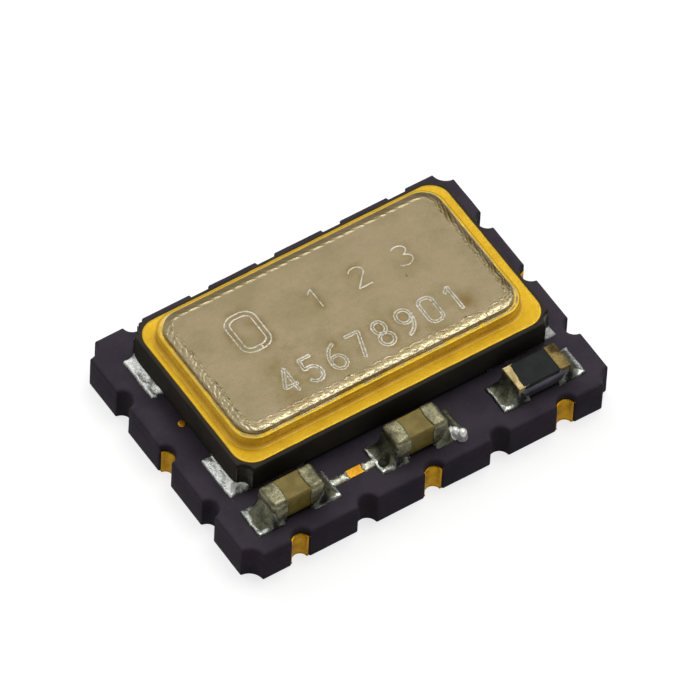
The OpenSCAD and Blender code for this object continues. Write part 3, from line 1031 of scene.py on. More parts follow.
@dataclass
class GoldTerminal:
    """Gold in one notch of the base, with a thick lip at its top, and the pad under it."""

    node: str
    side: Side
    notch_radius: float = 0.16
    thickness: float = 0.02
    film: float = 0.017
    foot_film: float = 0.018
    lip: float = 0.03
    lip_half: float = 0.016
    tip: float = 0.004
    opening: float = 0.11
    thinning: float = 0.18
    columns: int = 23
    pad_round: float = 0.04
    pad_edge: float = 0.02
    smear: float = 0.035
    smear_half: float = 0.008
    seed: int = 0

    def place(self, local: Array) -> Array:
        """Turn points from the notch's own frame to the module's.

        Args:
            local: Points by distance along the side, distance in from it, and height.

        Returns:
            The points on the module.
        """
        box = Box.of(self.node)
        outward = np.array(self.side.value)
        middle = np.where(outward > 0, box.high[:2], np.where(outward < 0, box.low[:2], box.centre[:2]))
        along = np.array([-outward[1], outward[0]])
        flat = middle + local[..., :1] * along - local[..., 1:2] * outward
        return np.concatenate([flat, local[..., 2:]], -1)

    def half_pipe(self, draft: Draft, top: float) -> None:
        """Add the gold on the notch's wall.

        Args:
            draft: Draft that takes it.
            top: Height of its lip.
        """
        turn = np.linspace(self.opening, math.pi - self.opening, self.columns)
        wave = Grain(31 + self.seed, 0.07)
        spot = np.column_stack([np.cos(turn) * 0.2, np.sin(turn) * 0.2, np.full(self.columns, top)])
        lip_top = top - 0.004 + 0.009 * wave.at(spot)
        inner_turn = np.minimum(turn, math.pi - turn) - self.opening
        ends = np.clip(inner_turn / self.thinning, 0.05, 1) ** 0.5
        rows = [(None, self.foot_film)]
        for drop in (0.30, 0.16, 0.1, 0.07, 0.05, 0.04, 0.032, 0.024, 0.016, 0.009, 0.004, 0.0):
            swell = math.sqrt(max(0.0, 1 - (drop / self.lip_half - 1) ** 2))
            thick = self.film + (self.lip - self.film) * swell
            rows.append((drop, thick if drop > self.tip else self.tip))
        out = []
        for drop, thick in rows:
            height = np.zeros_like(turn) if drop is None else lip_top - drop
            probe = np.column_stack([np.cos(turn), np.sin(turn), height * 0.6])
            bulge = 1 + 0.16 * wave.at(probe * 0.3)
            inner = self.notch_radius - thick * ends * bulge
            outer = np.full_like(turn, self.notch_radius + 0.003)
            radius = np.concatenate([outer, inner[::-1]])
            angle = np.concatenate([turn, turn[::-1]])
            level = np.concatenate([height, height[::-1]])
            out.append(np.column_stack([radius * np.cos(angle), radius * np.sin(angle), level]))
        numbers = draft.add(self.place(np.array(out)))
        draft.skin(numbers)

    def pad(self, draft: Draft) -> None:
        """Add the pad under the base.

        Args:
            draft: Draft that takes it.
        """
        box = Box.of(self.node)
        sizes = box.size[:2] if self.side in (Side.FRONT, Side.BACK) else box.size[1::-1]
        half, reach = sizes[0] / 2, sizes[1]
        turn = np.linspace(math.pi, 0, 15)
        notch = self.notch_radius - self.thickness
        bend = np.linspace(0, math.pi / 2, 5)
        corner = self.pad_round * np.stack([np.cos(bend), np.sin(bend)], -1)
        right = np.array([half - self.pad_round, reach - self.pad_round]) + corner
        left = right[::-1] * (-1, 1)
        arc = notch * np.stack([np.cos(turn), np.sin(turn)], -1)
        outline = np.concatenate([[(half, 0.0)], right, left, [(-half, 0.0)], arc])
        middle = outline.mean(0)
        levels = []
        for height, keep in ((0.0, 0.99), (self.thickness * 0.3, 1.0), (self.thickness, 1.0)):
            flat = middle + (outline - middle) * keep
            flat[:, 1] = np.maximum(flat[:, 1], self.pad_edge)
            levels.append(np.column_stack([flat, np.full(len(flat), height)]))
        numbers = draft.add(self.place(np.array(levels)))
        draft.skin(numbers)
        draft.fill([numbers[0]], up=False)
        draft.fill([numbers[-1]], up=True)

    def smears(self, draft: Draft, height: float) -> None:
        """Add the thin gold that crept along the seam beside the notch.

        Args:
            draft: Draft that takes it.
            height: Height of the seam.
        """
        share = np.linspace(0, 1, 7)
        for way in (-1, 1):
            length = self.smear * (1.0 if way > 0 else 0.6)
            along = way * (self.notch_radius + 0.012 + length * share)
            thick = self.smear_half * (1 - share) ** 0.8 + 0.001
            middle = height - 0.006 + 0.007 * share
            rows = []
            for sign, proud in ((-1, 0.001), (-0.5, -0.002), (0.5, -0.002), (1, 0.001)):
                rows.append(np.column_stack([along, np.full(7, proud), middle + sign * thick]))
            numbers = draft.add(self.place(np.array(rows)))
            draft.skin(numbers if way > 0 else numbers[:, ::-1], around=False)

    def build(self) -> None:
        """Make the terminal."""
        draft = Draft()
        top = Box.of(self.node).levels[1]
        self.half_pipe(draft, top)
        self.pad(draft)
        self.smears(draft, top)
        draft.make(f"gold_{self.node}", [Look.NOTCH_GOLD], [self.node], crease=50)


@dataclass
class PrintedMetal:
    """Printed conductor between two chips, and the gold dot beside the package."""

    strip: Box = box_of("conductor_strip")
    dot: Box = box_of("gold_dot")
    land_length: float = 0.5
    land_round: float = 0.02
    strip_width: float = 0.165
    line_round: float = 0.01
    edge: float = 0.006

    def build(self) -> None:
        """Make both."""
        low, high = self.strip.levels
        middle = self.strip.centre[1]
        draft = Draft()
        for end, way in ((self.strip.low[0], 1), (self.strip.high[0], -1)):
            centre = (float(end) + way * self.land_length / 2, middle)
            size = (self.land_length, self.strip.size[1])
            land = RoundedRectangle(size, self.land_round, centre, spacing=0.05, per_corner=3)
            plate(draft, land, low, high, self.edge)
        reach = self.strip.size[0] - self.land_length
        size, centre = (reach, self.strip_width), (self.strip.centre[0], middle)
        line = RoundedRectangle(size, self.line_round, centre, spacing=0.03, per_corner=2)
        plate(draft, line, low, high, self.edge)
        draft.make("printed_strip", [Look.PRINTED_GOLD], ["conductor_strip"])
        draft = Draft()
        across = self.dot.size[0]
        disc = RoundedRectangle((across, across), across / 2, self.dot.middle)
        plate(draft, disc, low, high, self.edge * 1.5, crown=0.003)
        draft.make("printed_dot", [Look.PRINTED_GOLD], ["gold_dot"])


@dataclass(frozen=True)
class WeldSide:
    """How the seam weld looks along one side of the lid, in shares of its full strength; its heat tint
    is partly painted shade and its plain weld colour partly a painted sheen.
    """

    pitch: float = 0.17
    wobble: float = 0.3
    shiver: float = 0.16
    slant: float = 0.9
    depth: float = 1.0
    scorch_and_shade: float = 0.35
    bare: float = 0.5
    bead_grain: float = 1.0
    bead_level: float = 0.55
    bead_width: float = 0.07
    bead_bare: float = 0.0


@dataclass
class SeamWeld:
    """Overlapping weld spots on the lid's sloping shoulder, and the bead at their inner end.

    Places across the weld are shares of its width.
    """

    start: float
    width: float
    height: float = 0.008
    bead_height: float = 0.006
    rise_share: float = 0.75
    reach: float = 1.1
    back_reach: float = 1.15
    swing: float = 0.36
    wall_stain: float = 0.2
    wall_bare: float = 0.85
    sides: dict[Side, WeldSide] = field(
        default_factory=lambda: {
            Side.FRONT: WeldSide(scorch_and_shade=0.0, bare=1.0, bead_grain=2.8, bead_level=0.65, bead_bare=0.7),
            Side.RIGHT: WeldSide(
                pitch=0.2, wobble=0.7, shiver=0.36, slant=1.7, depth=0.55, scorch_and_shade=1.05, bare=0.0
            ),
            Side.BACK: WeldSide(pitch=0.21, depth=0.2, bare=0.0, bead_width=0.14, bead_bare=0.5),
            Side.LEFT: WeldSide(pitch=0.14, shiver=0.46, bead_grain=2.6, bead_level=1.05, bead_bare=0.3),
        }
    )

    def blended(self, faced: dict[Side, Array]) -> dict[str, Array]:
        """Blend what the sides look like round the corners.

        Args:
            faced: How far each place faces each side, from 0 to 1.

        Returns:
            The value of each field of WeldSide at each place.
        """
        values = {name: value + 0 * faced[Side.FRONT] for name, value in asdict(WeldSide()).items()}
        for side, share in faced.items():
            for name, value in asdict(self.sides[side]).items():
                values[name] = values[name] + share * (value - getattr(WeldSide, name))
        return values

    def at(self, points: Array, insets: Array) -> tuple[Array, Array, Array]:
        """Work out the weld at the lid's points.

        Args:
            points: Points of the lid by ring and place.
            insets: Inset of each ring.

        Returns:
            Height that each point gains; how strongly it is heat tinted, partly as painted shade; and
            how much plain weld colour it shows, partly as a painted sheen; the last two from 0 to 1.
        """
        middle = points[int(np.argmin(abs(insets - self.width / 2)))]
        ahead = np.roll(middle, -1, 0) - middle
        steps = np.linalg.norm(ahead, axis=1)
        outward = np.stack([ahead[:, 1], -ahead[:, 0]], -1) / steps[:, None]
        faced = {side: np.clip(outward @ np.array(side.value), 0, 1) for side in self.sides}
        front, right, back = (faced[side] for side in (Side.FRONT, Side.RIGHT, Side.BACK))
        rate = sum(share**2 / self.sides[side].pitch for side, share in faced.items())
        beat = np.concatenate([[0.0], np.cumsum(steps * rate)])
        beat = beat[:-1] * round(beat[-1]) / beat[-1]
        look = self.blended(faced)
        across = (insets[:, None] - self.start) / self.width
        jitter = look["wobble"] * Grain(53, 0.2).at(points)
        jitter += look["shiver"] * Grain(54, 0.07).at(points)
        phase = (beat + look["slant"] * across + jitter) % 1.0
        tooth = np.where(
            phase < self.rise_share, phase / self.rise_share, (1 - phase) / (1 - self.rise_share)
        )
        crest = tooth + right * (0.5 - 0.5 * np.cos(2 * np.pi * phase) - tooth)
        loop = self.reach + self.swing * np.sqrt(abs(np.sin(np.pi * (beat + 0.9 + jitter))))
        loop += back * (self.back_reach - loop)
        share = np.clip((across - 0.03) / 0.12, 0, 1) * np.clip((loop - across) / 0.25, 0, 1)
        plain = front * np.clip((across + 0.4 * jitter - 0.5) / 0.2, 0, 1)
        rough = 0.5 * Grain(59, 0.05).at(points) + 0.4 * Grain(61, 0.025).at(points)
        dash = np.clip(1.5 - 3.6 * abs(phase - 0.5), 0, 1)
        strong = look["bead_grain"] * Grain(63, 0.07).at(points) + look["bead_level"]
        strong += back * (1.7 * dash - strong)
        bead = np.exp(-(((across - loop) / look["bead_width"]) ** 2)) * np.maximum(strong, 0)
        height = self.height * share * (crest - 0.5 + rough) * (look["depth"] - 0.6 * plain)
        height += self.bead_height * bead
        # Heat tint in the weld's troughs, strongest on the right and back: partly painted shade where
        # the seam faces away from the light.
        scorch_and_shade = share * ((1 - crest) * look["scorch_and_shade"] + 0.22 * back)
        scorch_and_shade *= 1 + 1.4 * right * Grain(66, 0.16).at(points)
        scorch_and_shade += 0.3 * plain * (across < 1)
        # Plain weld colour, full on the front and on parts of the bead: partly a painted sheen where the
        # seam faces the light.
        bare = share * np.clip((1.08 - across) / 0.14, 0, 1) * look["bare"] * (1 - plain)
        bare += bead * look["bead_bare"]
        # The lid's edge wall takes a fixed stain and a fixed share of the paler weld colour, partly as
        # painted light.
        wall = across <= 0
        return height, np.where(wall, self.wall_stain, scorch_and_shade), np.where(wall, self.wall_bare, bare)


@dataclass
class Package:
    """Sealed crystal package: ceramic housing, gold rim, brazed ring and seam-welded lid."""

    housing: Box = box_of("housing")
    rim: Box = box_of("sealing_rim")
    ring: Box = box_of("seal_ring")
    braze: Box = box_of("ring_braze")
    lid: Box = box_of("lid")
    mounting_pad: Box = box_of("mounting_pad_front")
    notch_radius: float = 0.2
    wall: float = 0.69
    ledge_length: float = 0.65
    ledge_height: float = 0.12
    cavity_radius: float = 0.15
    spacing: float = 0.3
    rim_radius: float = 0.36
    bright_band: float = 0.075
    ring_radius: float = 0.42
    ring_wall: float = 0.36
    lid_radius: float = 0.38
    shoulder: float = 0.11
    shoulder_drop: float = 0.027
    bevel_share: float = 0.88
    lid_edge: float = 0.014
    flash_half: float = 0.013
    flash_height: float = 0.009
    scorch_and_shade: float = 0.9

    def cavity(self, inset: float = 0.0) -> RoundedRectangle:
        """Outline of the cavity.

        Args:
            inset: Distance in from it.

        Returns:
            The outline.
        """
        size = tuple(self.housing.size[:2] - 2 * (self.wall + inset))
        middle = self.housing.middle
        return RoundedRectangle(size, self.cavity_radius, middle, self.spacing, per_corner=4)

    def build_housing(self) -> None:
        """Make the ceramic housing with its cavity."""
        low, high = self.housing.levels
        plan = NotchedRectangle(
            size=self.housing.footprint,
            corner_radius=self.notch_radius,
            centre=self.housing.middle,
            lip=0.025,
        )
        profile = [(0.014, low), (0.004, low + 0.006), (0.0, low + 0.018), (0.0, low + 0.2)]
        profile += [(0.0, high - 0.1)] + quarter_round(0.0, high, 0.022)
        profile += [(0.034, high)]
        shell = wavering(rings(plan, profile), seed=17, pitch=0.4, height=0.0025)
        shell[-1, :, 2] = high
        draft = Draft()
        numbers = draft.add(shell)
        draft.skin(numbers)
        ledge_top = self.mounting_pad.low[2]
        hollow = draft.add(rings(self.cavity(), [(0.0, high), (0.0, ledge_top)]))
        floor_size = self.cavity(0.002).size
        well = RoundedRectangle(
            (floor_size[0] - self.ledge_length, floor_size[1]),
            self.cavity_radius,
            (self.housing.centre[0] + self.ledge_length / 2, self.housing.centre[1]),
            self.spacing,
            per_corner=4,
        )
        floor = ledge_top - self.ledge_height
        deep = draft.add(rings(well, [(0.0, ledge_top), (0.0, floor)]))
        draft.fill([numbers[-1], hollow[0]], up=True)
        draft.skin(hollow)
        draft.fill([hollow[1], deep[0]], up=True)
        draft.skin(deep)
        draft.fill([deep[1]], up=True)
        draft.fill([numbers[0]], up=False)
        draft.make("package_housing", [Look.PACKAGE], ["housing"])

    def build_rim(self) -> None:
        """Make the gold rim on the housing."""
        low, high = self.rim.levels
        size, middle = self.rim.footprint, self.rim.middle
        plan = RoundedRectangle(size, self.rim_radius, middle, spacing=0.05, per_corner=14)
        profile = [(0.0, low)] + quarter_round(0.0, high, 0.011, 4) + [(0.03, high), (0.06, high)]
        band = wavering(rings(plan, profile), seed=23, pitch=0.18, height=0.003)
        edge = [(self.bright_band, high - 0.001)]
        inner = wavering(rings(plan, edge), seed=29, pitch=0.1, height=0.006)
        draft = Draft()
        outer = draft.add(np.concatenate([band, inner]))
        hollow = draft.add(rings(self.cavity(), [(0.0, high), (0.0, low)]))
        draft.skin(outer)
        draft.fill([outer[-1], hollow[0]], up=True, slot=1)
        draft.skin(hollow, slot=1)
        draft.fill([outer[0], hollow[1]], up=False)
        looks = [Look.BRIGHT_GOLD, Look.RIM_GOLD]
        draft.make("gold_rim", looks, ["sealing_rim"])

    def ring_plan(self, box: Box, radius: float, spacing: float = 0.06) -> RoundedRectangle:
        """Outline of a piece of the seal.

        Args:
            box: Box of the piece.
            radius: Radius of its corners.
            spacing: Distance between its points.

        Returns:
            The outline.
        """
        size = box.footprint
        corner = max(8, round(radius * math.pi / 2 / spacing))
        return RoundedRectangle(size, radius, box.middle, spacing, corner)

    def build_ring(self) -> None:
        """Make the seal ring and the braze at its foot."""
        low, high = self.ring.levels
        plan = self.ring_plan(self.ring, self.ring_radius)
        outer = [(0.0, low), (0.0, low + 0.05), (0.001, low + 0.11), (0.002, low + 0.16)]
        crest = quarter_round(0.002, high, 0.028, 5)
        back = [(self.ring_wall - inset, height) for inset, height in crest[::-1]]
        back += [(self.ring_wall, low + 0.05), (self.ring_wall, low)]
        # Flat band of the ring's top beside the lid, which takes the heat tinted gold lightened as
        # painted light.
        scorched = [(0.052, high), (0.12, high)]
        draft = Draft()
        shape = wavering(rings(plan, outer + crest + scorched + back), seed=37, pitch=0.25, height=0.003)
        first, last = len(outer) + len(crest), len(outer) + len(crest) + len(scorched)
        shape[first, :, :2] += 0.006 * Grain(38, 0.07).at(shape[first])[:, None]
        numbers = draft.add(shape)
        # The outer wall takes the paler gold, a painted light.
        draft.skin(numbers[: len(outer) + 1], slot=1)
        draft.skin(numbers[len(outer) : first + 1])
        draft.skin(numbers[first : last + 1], slot=2)
        draft.skin(numbers[last:])
        draft.skin(numbers[[-1, 0]])
        looks = [Look.BRIGHT_GOLD, Look.RING_WALL, Look.SCORCHED_GOLD]
        draft.make("seal_ring_gold", looks, ["seal_ring"])
        reach = float(self.braze.high[0] - self.ring.high[0])
        turn = np.linspace(0, math.pi / 2, 8)
        hollow = [(-reach * (1 - math.sin(a)), low + reach * (1 - math.cos(a))) for a in turn]
        shape = rings(plan, hollow + [(0.004, low + reach * 0.9), (0.004, low)])
        draft = Draft()
        numbers = draft.add(wavering(shape, seed=41, pitch=0.12, height=0.006))
        draft.skin(numbers)
        draft.skin(numbers[[-1, 0]])
        draft.make("braze_fillet", [Look.BRAZE], ["ring_braze"])

    def build_flash(self) -> None:
        """Make the broken line of metal that the weld pushed out along the lid's foot."""
        high = self.ring.levels[1]
        plan = self.ring_plan(self.ring, self.ring_radius, 0.014)
        middle = float(self.lid.low[0] - self.ring.low[0]) - 2 * self.flash_half
        centre = rings(plan, [(middle, high)])[0]
        dash = np.clip(1.6 * Grain(83, 0.11).at(centre * (1, 1, 0)) + 0.45, 0.0, 1.0)
        front = np.clip((self.ring.centre[1] - centre[:, 1]) / 0.9, 0.25, 1.0)
        strong = dash * front
        rows = []
        for across, rise in ((-1, -0.001), (-0.5, 0.7), (0, 1), (0.5, 0.7), (1, -0.001)):
            row = rings(plan, [(middle + self.flash_half * across, high)])[0]
            row += (centre - row) * (1 - np.sqrt(strong))[:, None]
            row[:, 2] += self.flash_height * strong * rise - 0.0005
            rows.append(row)
        draft = Draft()
        draft.skin(draft.add(np.array(rows)))
        draft.make("weld_flash", [Look.MARK], [], crease=80)

    def build_lid(self, marks: "Marking") -> None:
        """Make the lid, with the weld's spots, the stain that the marking and the weld left, which
        carries painted shade, and the weld colour, which carries a painted sheen.

        Args:
            marks: The marking on it.
        """
        low, high = self.lid.levels
        brim = high - self.shoulder_drop
        edge = self.lid_edge
        foot = [(0.024, low), (0.01, low + 0.003), (0.0, low + 0.01), (0.001, low + 0.018)]
        rows = [(0.3, low), (0.1, low)] + foot
        rows += [(0.0055, (low + brim) / 2), (0.01, brim - 0.01)]
        rows += [(0.011, brim - 0.003), (edge, brim)]
        rise = np.linspace(0, 1, 22)[1:]
        straight = self.bevel_share
        rounded = 1 - (1 - rise) ** 2 / (4 * straight * (1 - straight))
        bevel = np.where(rise < 2 * straight - 1, rise / straight, rounded)
        rows += [(edge + self.shoulder * s, brim + self.shoulder_drop * b) for s, b in zip(rise, bevel)]
        start = edge + self.shoulder
        rows += [(inset, high) for inset in np.arange(start + 0.008, start + 0.09, 0.008)]
        half = self.lid.size[1] / 2
        rows += [(inset, high) for inset in np.linspace(0.3, half - 0.003, 24)]
        plan = self.ring_plan(self.lid, self.lid_radius, 0.0165)
        shape = rings(plan, rows)
        insets = np.array([inset for inset, _ in rows])
        height, scorch_and_shade, welded = SeamWeld(edge, self.shoulder).at(shape, insets)
        shape[2 + len(foot) :, :, 2] += height[2 + len(foot) :]
        shape[1 : 3 + len(foot)] = wavering(shape[1 : 3 + len(foot)], seed=67, pitch=0.06, height=0.006)
        draft = Draft()
        numbers = draft.add(shape)
        draft.skin(numbers)
        draft.fill([numbers[-1]], up=True)
        draft.fill([numbers[0]], up=False)
        piece = draft.make("welded_lid", [Look.LID], ["lid"], crease=60)
        # The stain carries painted shade and the weld colour a painted sheen, both laid on the lid's
        # points.
        heat = marks.heat(np.concatenate(draft.points)) + self.scorch_and_shade * scorch_and_shade.ravel()
        for name, share in ((STAIN_AND_SHADE, heat), (WELD_AND_SHEEN, welded.ravel())):
            painted = piece.data.attributes.new(name, "FLOAT", "POINT")
            painted.data.foreach_set("value", np.clip(share, 0, 1))
        LOG.info("welded_lid: stain and weld painted")

    def build(self, marks: "Marking") -> None:
        """Make the whole package.

        Args:
            marks: The marking on its lid.
        """
        self.build_housing()
        self.build_rim()
        self.build_ring()
        self.build_flash()
        self.build_lid(marks)
        # The corner terminals take the dark tin as painted shade.
        for place in ("front_left", "front_right", "back_left", "back_right"):
            dress_node(f"housing_terminal_{place}", Look.OLD_TIN)


def bow(cx: float, cy: float, rx: float, ry: float, start: float, end: float) -> Array:
    """Bow of an ellipse round (cx, cy), rx and ry in half axes, from start to end in degrees."""
    turn = np.radians(np.linspace(start, end, 13))
    return np.stack([cx + rx * np.cos(turn), cy + ry * np.sin(turn)], -1)


def figure(number: int) -> list[Array]:
    """Strokes of a plain figure, one wide and two high, from its lower left corner.

    Args:
        number: The figure, from 0 to 9.

    Returns:
        Its strokes.
    """
    if number == 0:
        half = np.concatenate([bow(0.6, 0.4, 0.4, 0.4, -90, 0), bow(0.6, 1.6, 0.4, 0.4, 0, 90)])
        return [np.concatenate([half, (1, 2) - half, half[:1]])]
    if number == 1:
        return [np.array([(0.15, 1.6), (0.55, 2), (0.55, 0)])]
    if number == 2:
        return [np.concatenate([bow(0.5, 1.5, 0.5, 0.5, 160, -30), [(0, 0), (1, 0)]])]
    if number == 3:
        upper = bow(0.45, 1.52, 0.5, 0.48, 150, -80)
        return [np.concatenate([upper, bow(0.45, 0.52, 0.55, 0.52, 80, -150)])]
    if number == 4:
        return [np.array([(0.75, 0), (0.75, 2), (0, 0.55), (1, 0.55)])]
    if number == 5:
        flag = [(0.95, 2), (0.1, 2), (0.05, 1.15)]
        return [np.concatenate([flag, bow(0.45, 0.62, 0.55, 0.62, 110, -150)])]
    if number == 6:
        stem = bow(1.1, 0.6, 1.1, 1.4, 100, 175)
        return [np.concatenate([stem, bow(0.5, 0.55, 0.5, 0.55, 180, 540)])]
    if number == 7:
        return [np.array([(0, 2), (1, 2), (0.35, 0)])]
    if number == 8:
        return [bow(0.5, 1.5, 0.42, 0.5, -90, 270), bow(0.5, 0.5, 0.5, 0.5, 90, 450)]
    stem = bow(-0.1, 1.4, 1.1, 1.4, -80, -5)
    return [np.concatenate([stem, bow(0.5, 1.45, 0.5, 0.55, 0, 360)])]


@dataclass(frozen=True)
class Stain:
    """Brown spot on the lid."""

    x: float
    y: float
    radius: float
    strength: float


@dataclass
class Marking:
    """Plain figures engraved on the lid: two rows, the first led by one large figure."""

    lid: Box = box_of("lid")
    large_at: Pair = (-1.73, 0.03)
    large_size: Pair = (0.48, 0.36)
    large_width: float = 0.085
    small_at: Pair = (-0.32, 0.18)
    small_size: Pair = (0.26, 0.205)
    small_pitch: float = 0.83
    row_at: Pair = (-1.6, -1.02)
    row_size: Pair = (0.25, 0.25)
    row_pitch: float = 0.455
    row_width: float = 0.045
    line: float = 0.03
    proud: float = 0.0028
    stain_radius: float = 0.085
    stain_share: float = 0.6
    spots: tuple[Stain, ...] = (
        Stain(1.93, -0.5, 0.2, 0.75),
        Stain(-1.48, 0.02, 0.2, 0.45),
        Stain(-1.57, -0.67, 0.24, 0.5),
        Stain(-1.27, 0.93, 0.16, 0.5),
        Stain(-1.29, 0.64, 0.16, 0.4),
        Stain(1.17, -0.69, 0.18, 0.35),
    )

    def strokes(self) -> list[Array]:
        """Every engraved line, as points on the lid.

        Returns:
            The lines.
        """
        out = self.doubled(self.set_at(0, self.large_at, self.large_size), self.large_width)
        for index, number in enumerate((1, 2, 3)):
            place = (self.small_at[0] + index * self.small_pitch, self.small_at[1])
            out += self.set_at(number, place, self.small_size)
        for index, number in enumerate((4, 5, 6, 7, 8, 9, 0, 1)):
            place = (self.row_at[0] + index * self.row_pitch, self.row_at[1])
            out += self.doubled(self.set_at(number, place, self.row_size), self.row_width)
        return [self.resampled(line) for line in out]

    def set_at(self, number: int, place: Pair, size: Pair) -> list[Array]:
        """Strokes of a figure with its lower left corner at place, by its width and half height."""
        corner = self.lid.centre[:2] + place
        return [corner + stroke * size for stroke in figure(number)]

    def doubled(self, lines: list[Array], width: float) -> list[Array]:
        """Turn each line into the closed outline of a broad one.

        Args:
            lines: The lines.
            width: Width of the broad line.

        Returns:
            The outlines.
        """
        out = []
        for line in lines:
            line = self.resampled(line, 0.03)
            along = np.gradient(line, axis=0)
            along /= np.maximum(np.linalg.norm(along, axis=1, keepdims=True), 1e-9)
            across = np.stack([-along[:, 1], along[:, 0]], -1) * width / 2
            closed = [line + across, (line - across)[::-1], (line + across)[:1]]
            out.append(np.concatenate(closed))
        return out

    def resampled(self, line: Array, spacing: float = 0.012) -> Array:
        """Even out a line's points.

        Args:
            line: The line.
            spacing: Distance between its new points.

        Returns:
            The new points.
        """
        steps = np.linalg.norm(np.diff(line, axis=0), axis=1)
        travel = np.concatenate([[0.0], np.cumsum(steps)])
        places = np.linspace(0, travel[-1], max(3, round(travel[-1] / spacing) + 1))
        return np.stack([np.interp(places, travel, line[:, axis]) for axis in (0, 1)], -1)

    def heat(self, points: Array) -> Array:
        """How strongly the lid is stained near the engraved lines.

        Args:
            points: Points of the lid.

        Returns:
            A share from 0 to 1 for each point.
        """
        marks = np.concatenate([line[::6] for line in self.strokes()])
        nearest = np.full(len(points), 9.0)
        for mark in marks:
            nearest = np.minimum(nearest, np.hypot(*(points[:, :2] - mark).T))
        patchy = np.clip(0.5 + 0.9 * Grain(71, 0.22).at(points), 0, 1)
        out = np.exp(-((nearest / self.stain_radius) ** 2)) * patchy * self.stain_share
        ragged = 0.3 * Grain(72, 0.14).at(points)
        for spot in self.spots:
            away = np.hypot(points[:, 0] - spot.x, points[:, 1] - spot.y) / spot.radius + ragged
            out = np.maximum(out, spot.strength * np.exp(-(np.maximum(away, 0) ** 2)))
        return out

    def build(self) -> None:
        """Make the engraved lines."""
        high = self.lid.levels[1]
        draft = Draft()
        beads = Grain(73, 0.03)
        for line in self.strokes():
            along = np.gradient(line, axis=0)
            along /= np.maximum(np.linalg.norm(along, axis=1, keepdims=True), 1e-9)
            across = np.stack([-along[:, 1], along[:, 0]], -1)
            spot = np.column_stack([line, np.full(len(line), high)])
            width = self.line * (1 + 0.3 * beads.at(spot))[:, None]
            lift = self.proud * np.clip(1 + 0.9 * beads.at(spot + 5), 0.35, 1.8)
            rows = []
            for share, rise in ((-0.5, 0.0), (-0.22, 1.0), (0.0, 0.55), (0.22, 1.0), (0.5, 0.0)):
                flat = line + across * width * share
                rows.append(np.column_stack([flat, high - 0.0004 + lift * rise]))
            draft.skin(draft.add(np.array(rows))[::-1], around=False)
        draft.make("lid_figures", [Look.MARK], [])


def lengthwise(plan: Plan, profile: Profile) -> Array:
    """Run a profile round an upright outline in Y and Z, so that its heights lie along X."""
    return rings(plan, profile)[..., [2, 0, 1]]


def roughened(points: Array, centre: Array, seed: int, height: float) -> Array:
    """Make a chip's metal lumpy.

    Args:
        points: Points of the metal.
        centre: Middle of the metal.
        seed: Seed of the lumps.
        height: Their height.

    Returns:
        The moved points.
    """
    away = points - centre
    away /= np.maximum(np.linalg.norm(away, axis=-1, keepdims=True), 1e-9)
    lumps = 0.6 * Grain(seed, 0.09).at(points) + 0.4 * Grain(seed + 1, 0.03).at(points)
    return points + away * (height * lumps)[..., None]


@dataclass
class ChipCapacitor:
    """Chip capacitor: rounded ceramic body in two rough metal end caps."""

    name: str
    seed: int
    body_radius: float = 0.045
    wall: float = 0.02
    cap_round: float = 0.082
    inner_round: float = 0.016
    bulge: float = 0.026

    def section(self, inset: float, radius: float) -> RoundedRectangle:
        """Section of the chip, across its length.

        Args:
            inset: Distance in from its outside.
            radius: Radius of its corners.

        Returns:
            The section.
        """
        box = Box.of(f"{self.name}_cap_left")
        size = tuple(box.size[1:] - 2 * inset)
        return RoundedRectangle(size, radius, tuple(box.centre[1:]), spacing=0.035, per_corner=6)

    def build_body(self) -> None:
        """Make the ceramic body."""
        box = Box.of(f"{self.name}_body")
        radius = self.body_radius
        right = quarter_round(0.0, box.high[0], radius, 4)
        left = [(inset, float(box.low[0] + box.high[0]) - x) for inset, x in right[::-1]]
        shape = lengthwise(self.section(self.wall, radius), left + right)
        draft = Draft()
        numbers = draft.add(shape)
        draft.skin(numbers)
        draft.close(numbers[0], flip=True)
        draft.close(numbers[-1])
        nodes = [f"{self.name}_body"]
        draft.make(f"{self.name}_ceramic", [Look.CAPACITOR], nodes)

    def build_cap(self, end: Side) -> None:
        """Make one end cap.

        Args:
            end: Side.LEFT or Side.RIGHT.
        """
        node = f"{self.name}_cap_{end.name.lower()}"
        box = Box.of(node)
        length = box.size[0]
        radius = self.cap_round
        lip = self.inner_round
        profile = [(self.wall + 0.004, 0.02), (self.wall + 0.004, 0.004), (self.wall * 0.8, 0.0)]
        profile += [(self.wall * 0.3, 0.004), (0.0, lip), (0.0, lip * 2), (0.0, length * 0.3)]
        profile += [(0.0, length * 0.45), (0.0, length * 0.6)]
        profile += quarter_round(0.0, length, radius, 7)
        profile += [(radius + step, length + 0.003) for step in (0.03, 0.06, 0.1, 0.14)]
        shape = lengthwise(self.section(0.0, radius + 0.004), profile)
        away = abs(shape[..., 1:] - box.centre[1:]) / (box.size[1:] / 2)
        swell = self.bulge * (1 - np.clip(away.min(-1), 0, 1) ** 2 * 1.4)
        shape[..., 0] -= swell * np.clip(1 - shape[..., 0] / (0.6 * length), 0, 1)
        if end is Side.RIGHT:
            shape[..., 0] = box.low[0] + shape[..., 0]
        else:
            shape[..., 0] = box.high[0] - shape[..., 0]
            shape = shape[::-1]
        seed = self.seed + (7 if end is Side.RIGHT else 0)
        draft = Draft()
        numbers = draft.add(roughened(shape, box.centre, seed, 0.011))
        draft.skin(numbers)
        if end is Side.RIGHT:
            draft.close(numbers[-1])
        else:
            draft.close(numbers[0], flip=True)
        draft.make(f"{node}_tin", [Look.END_CAP], [node], crease=80)

    def build(self) -> None:
        """Make the capacitor."""
        self.build_body()
        self.build_cap(Side.LEFT)
        self.build_cap(Side.RIGHT)


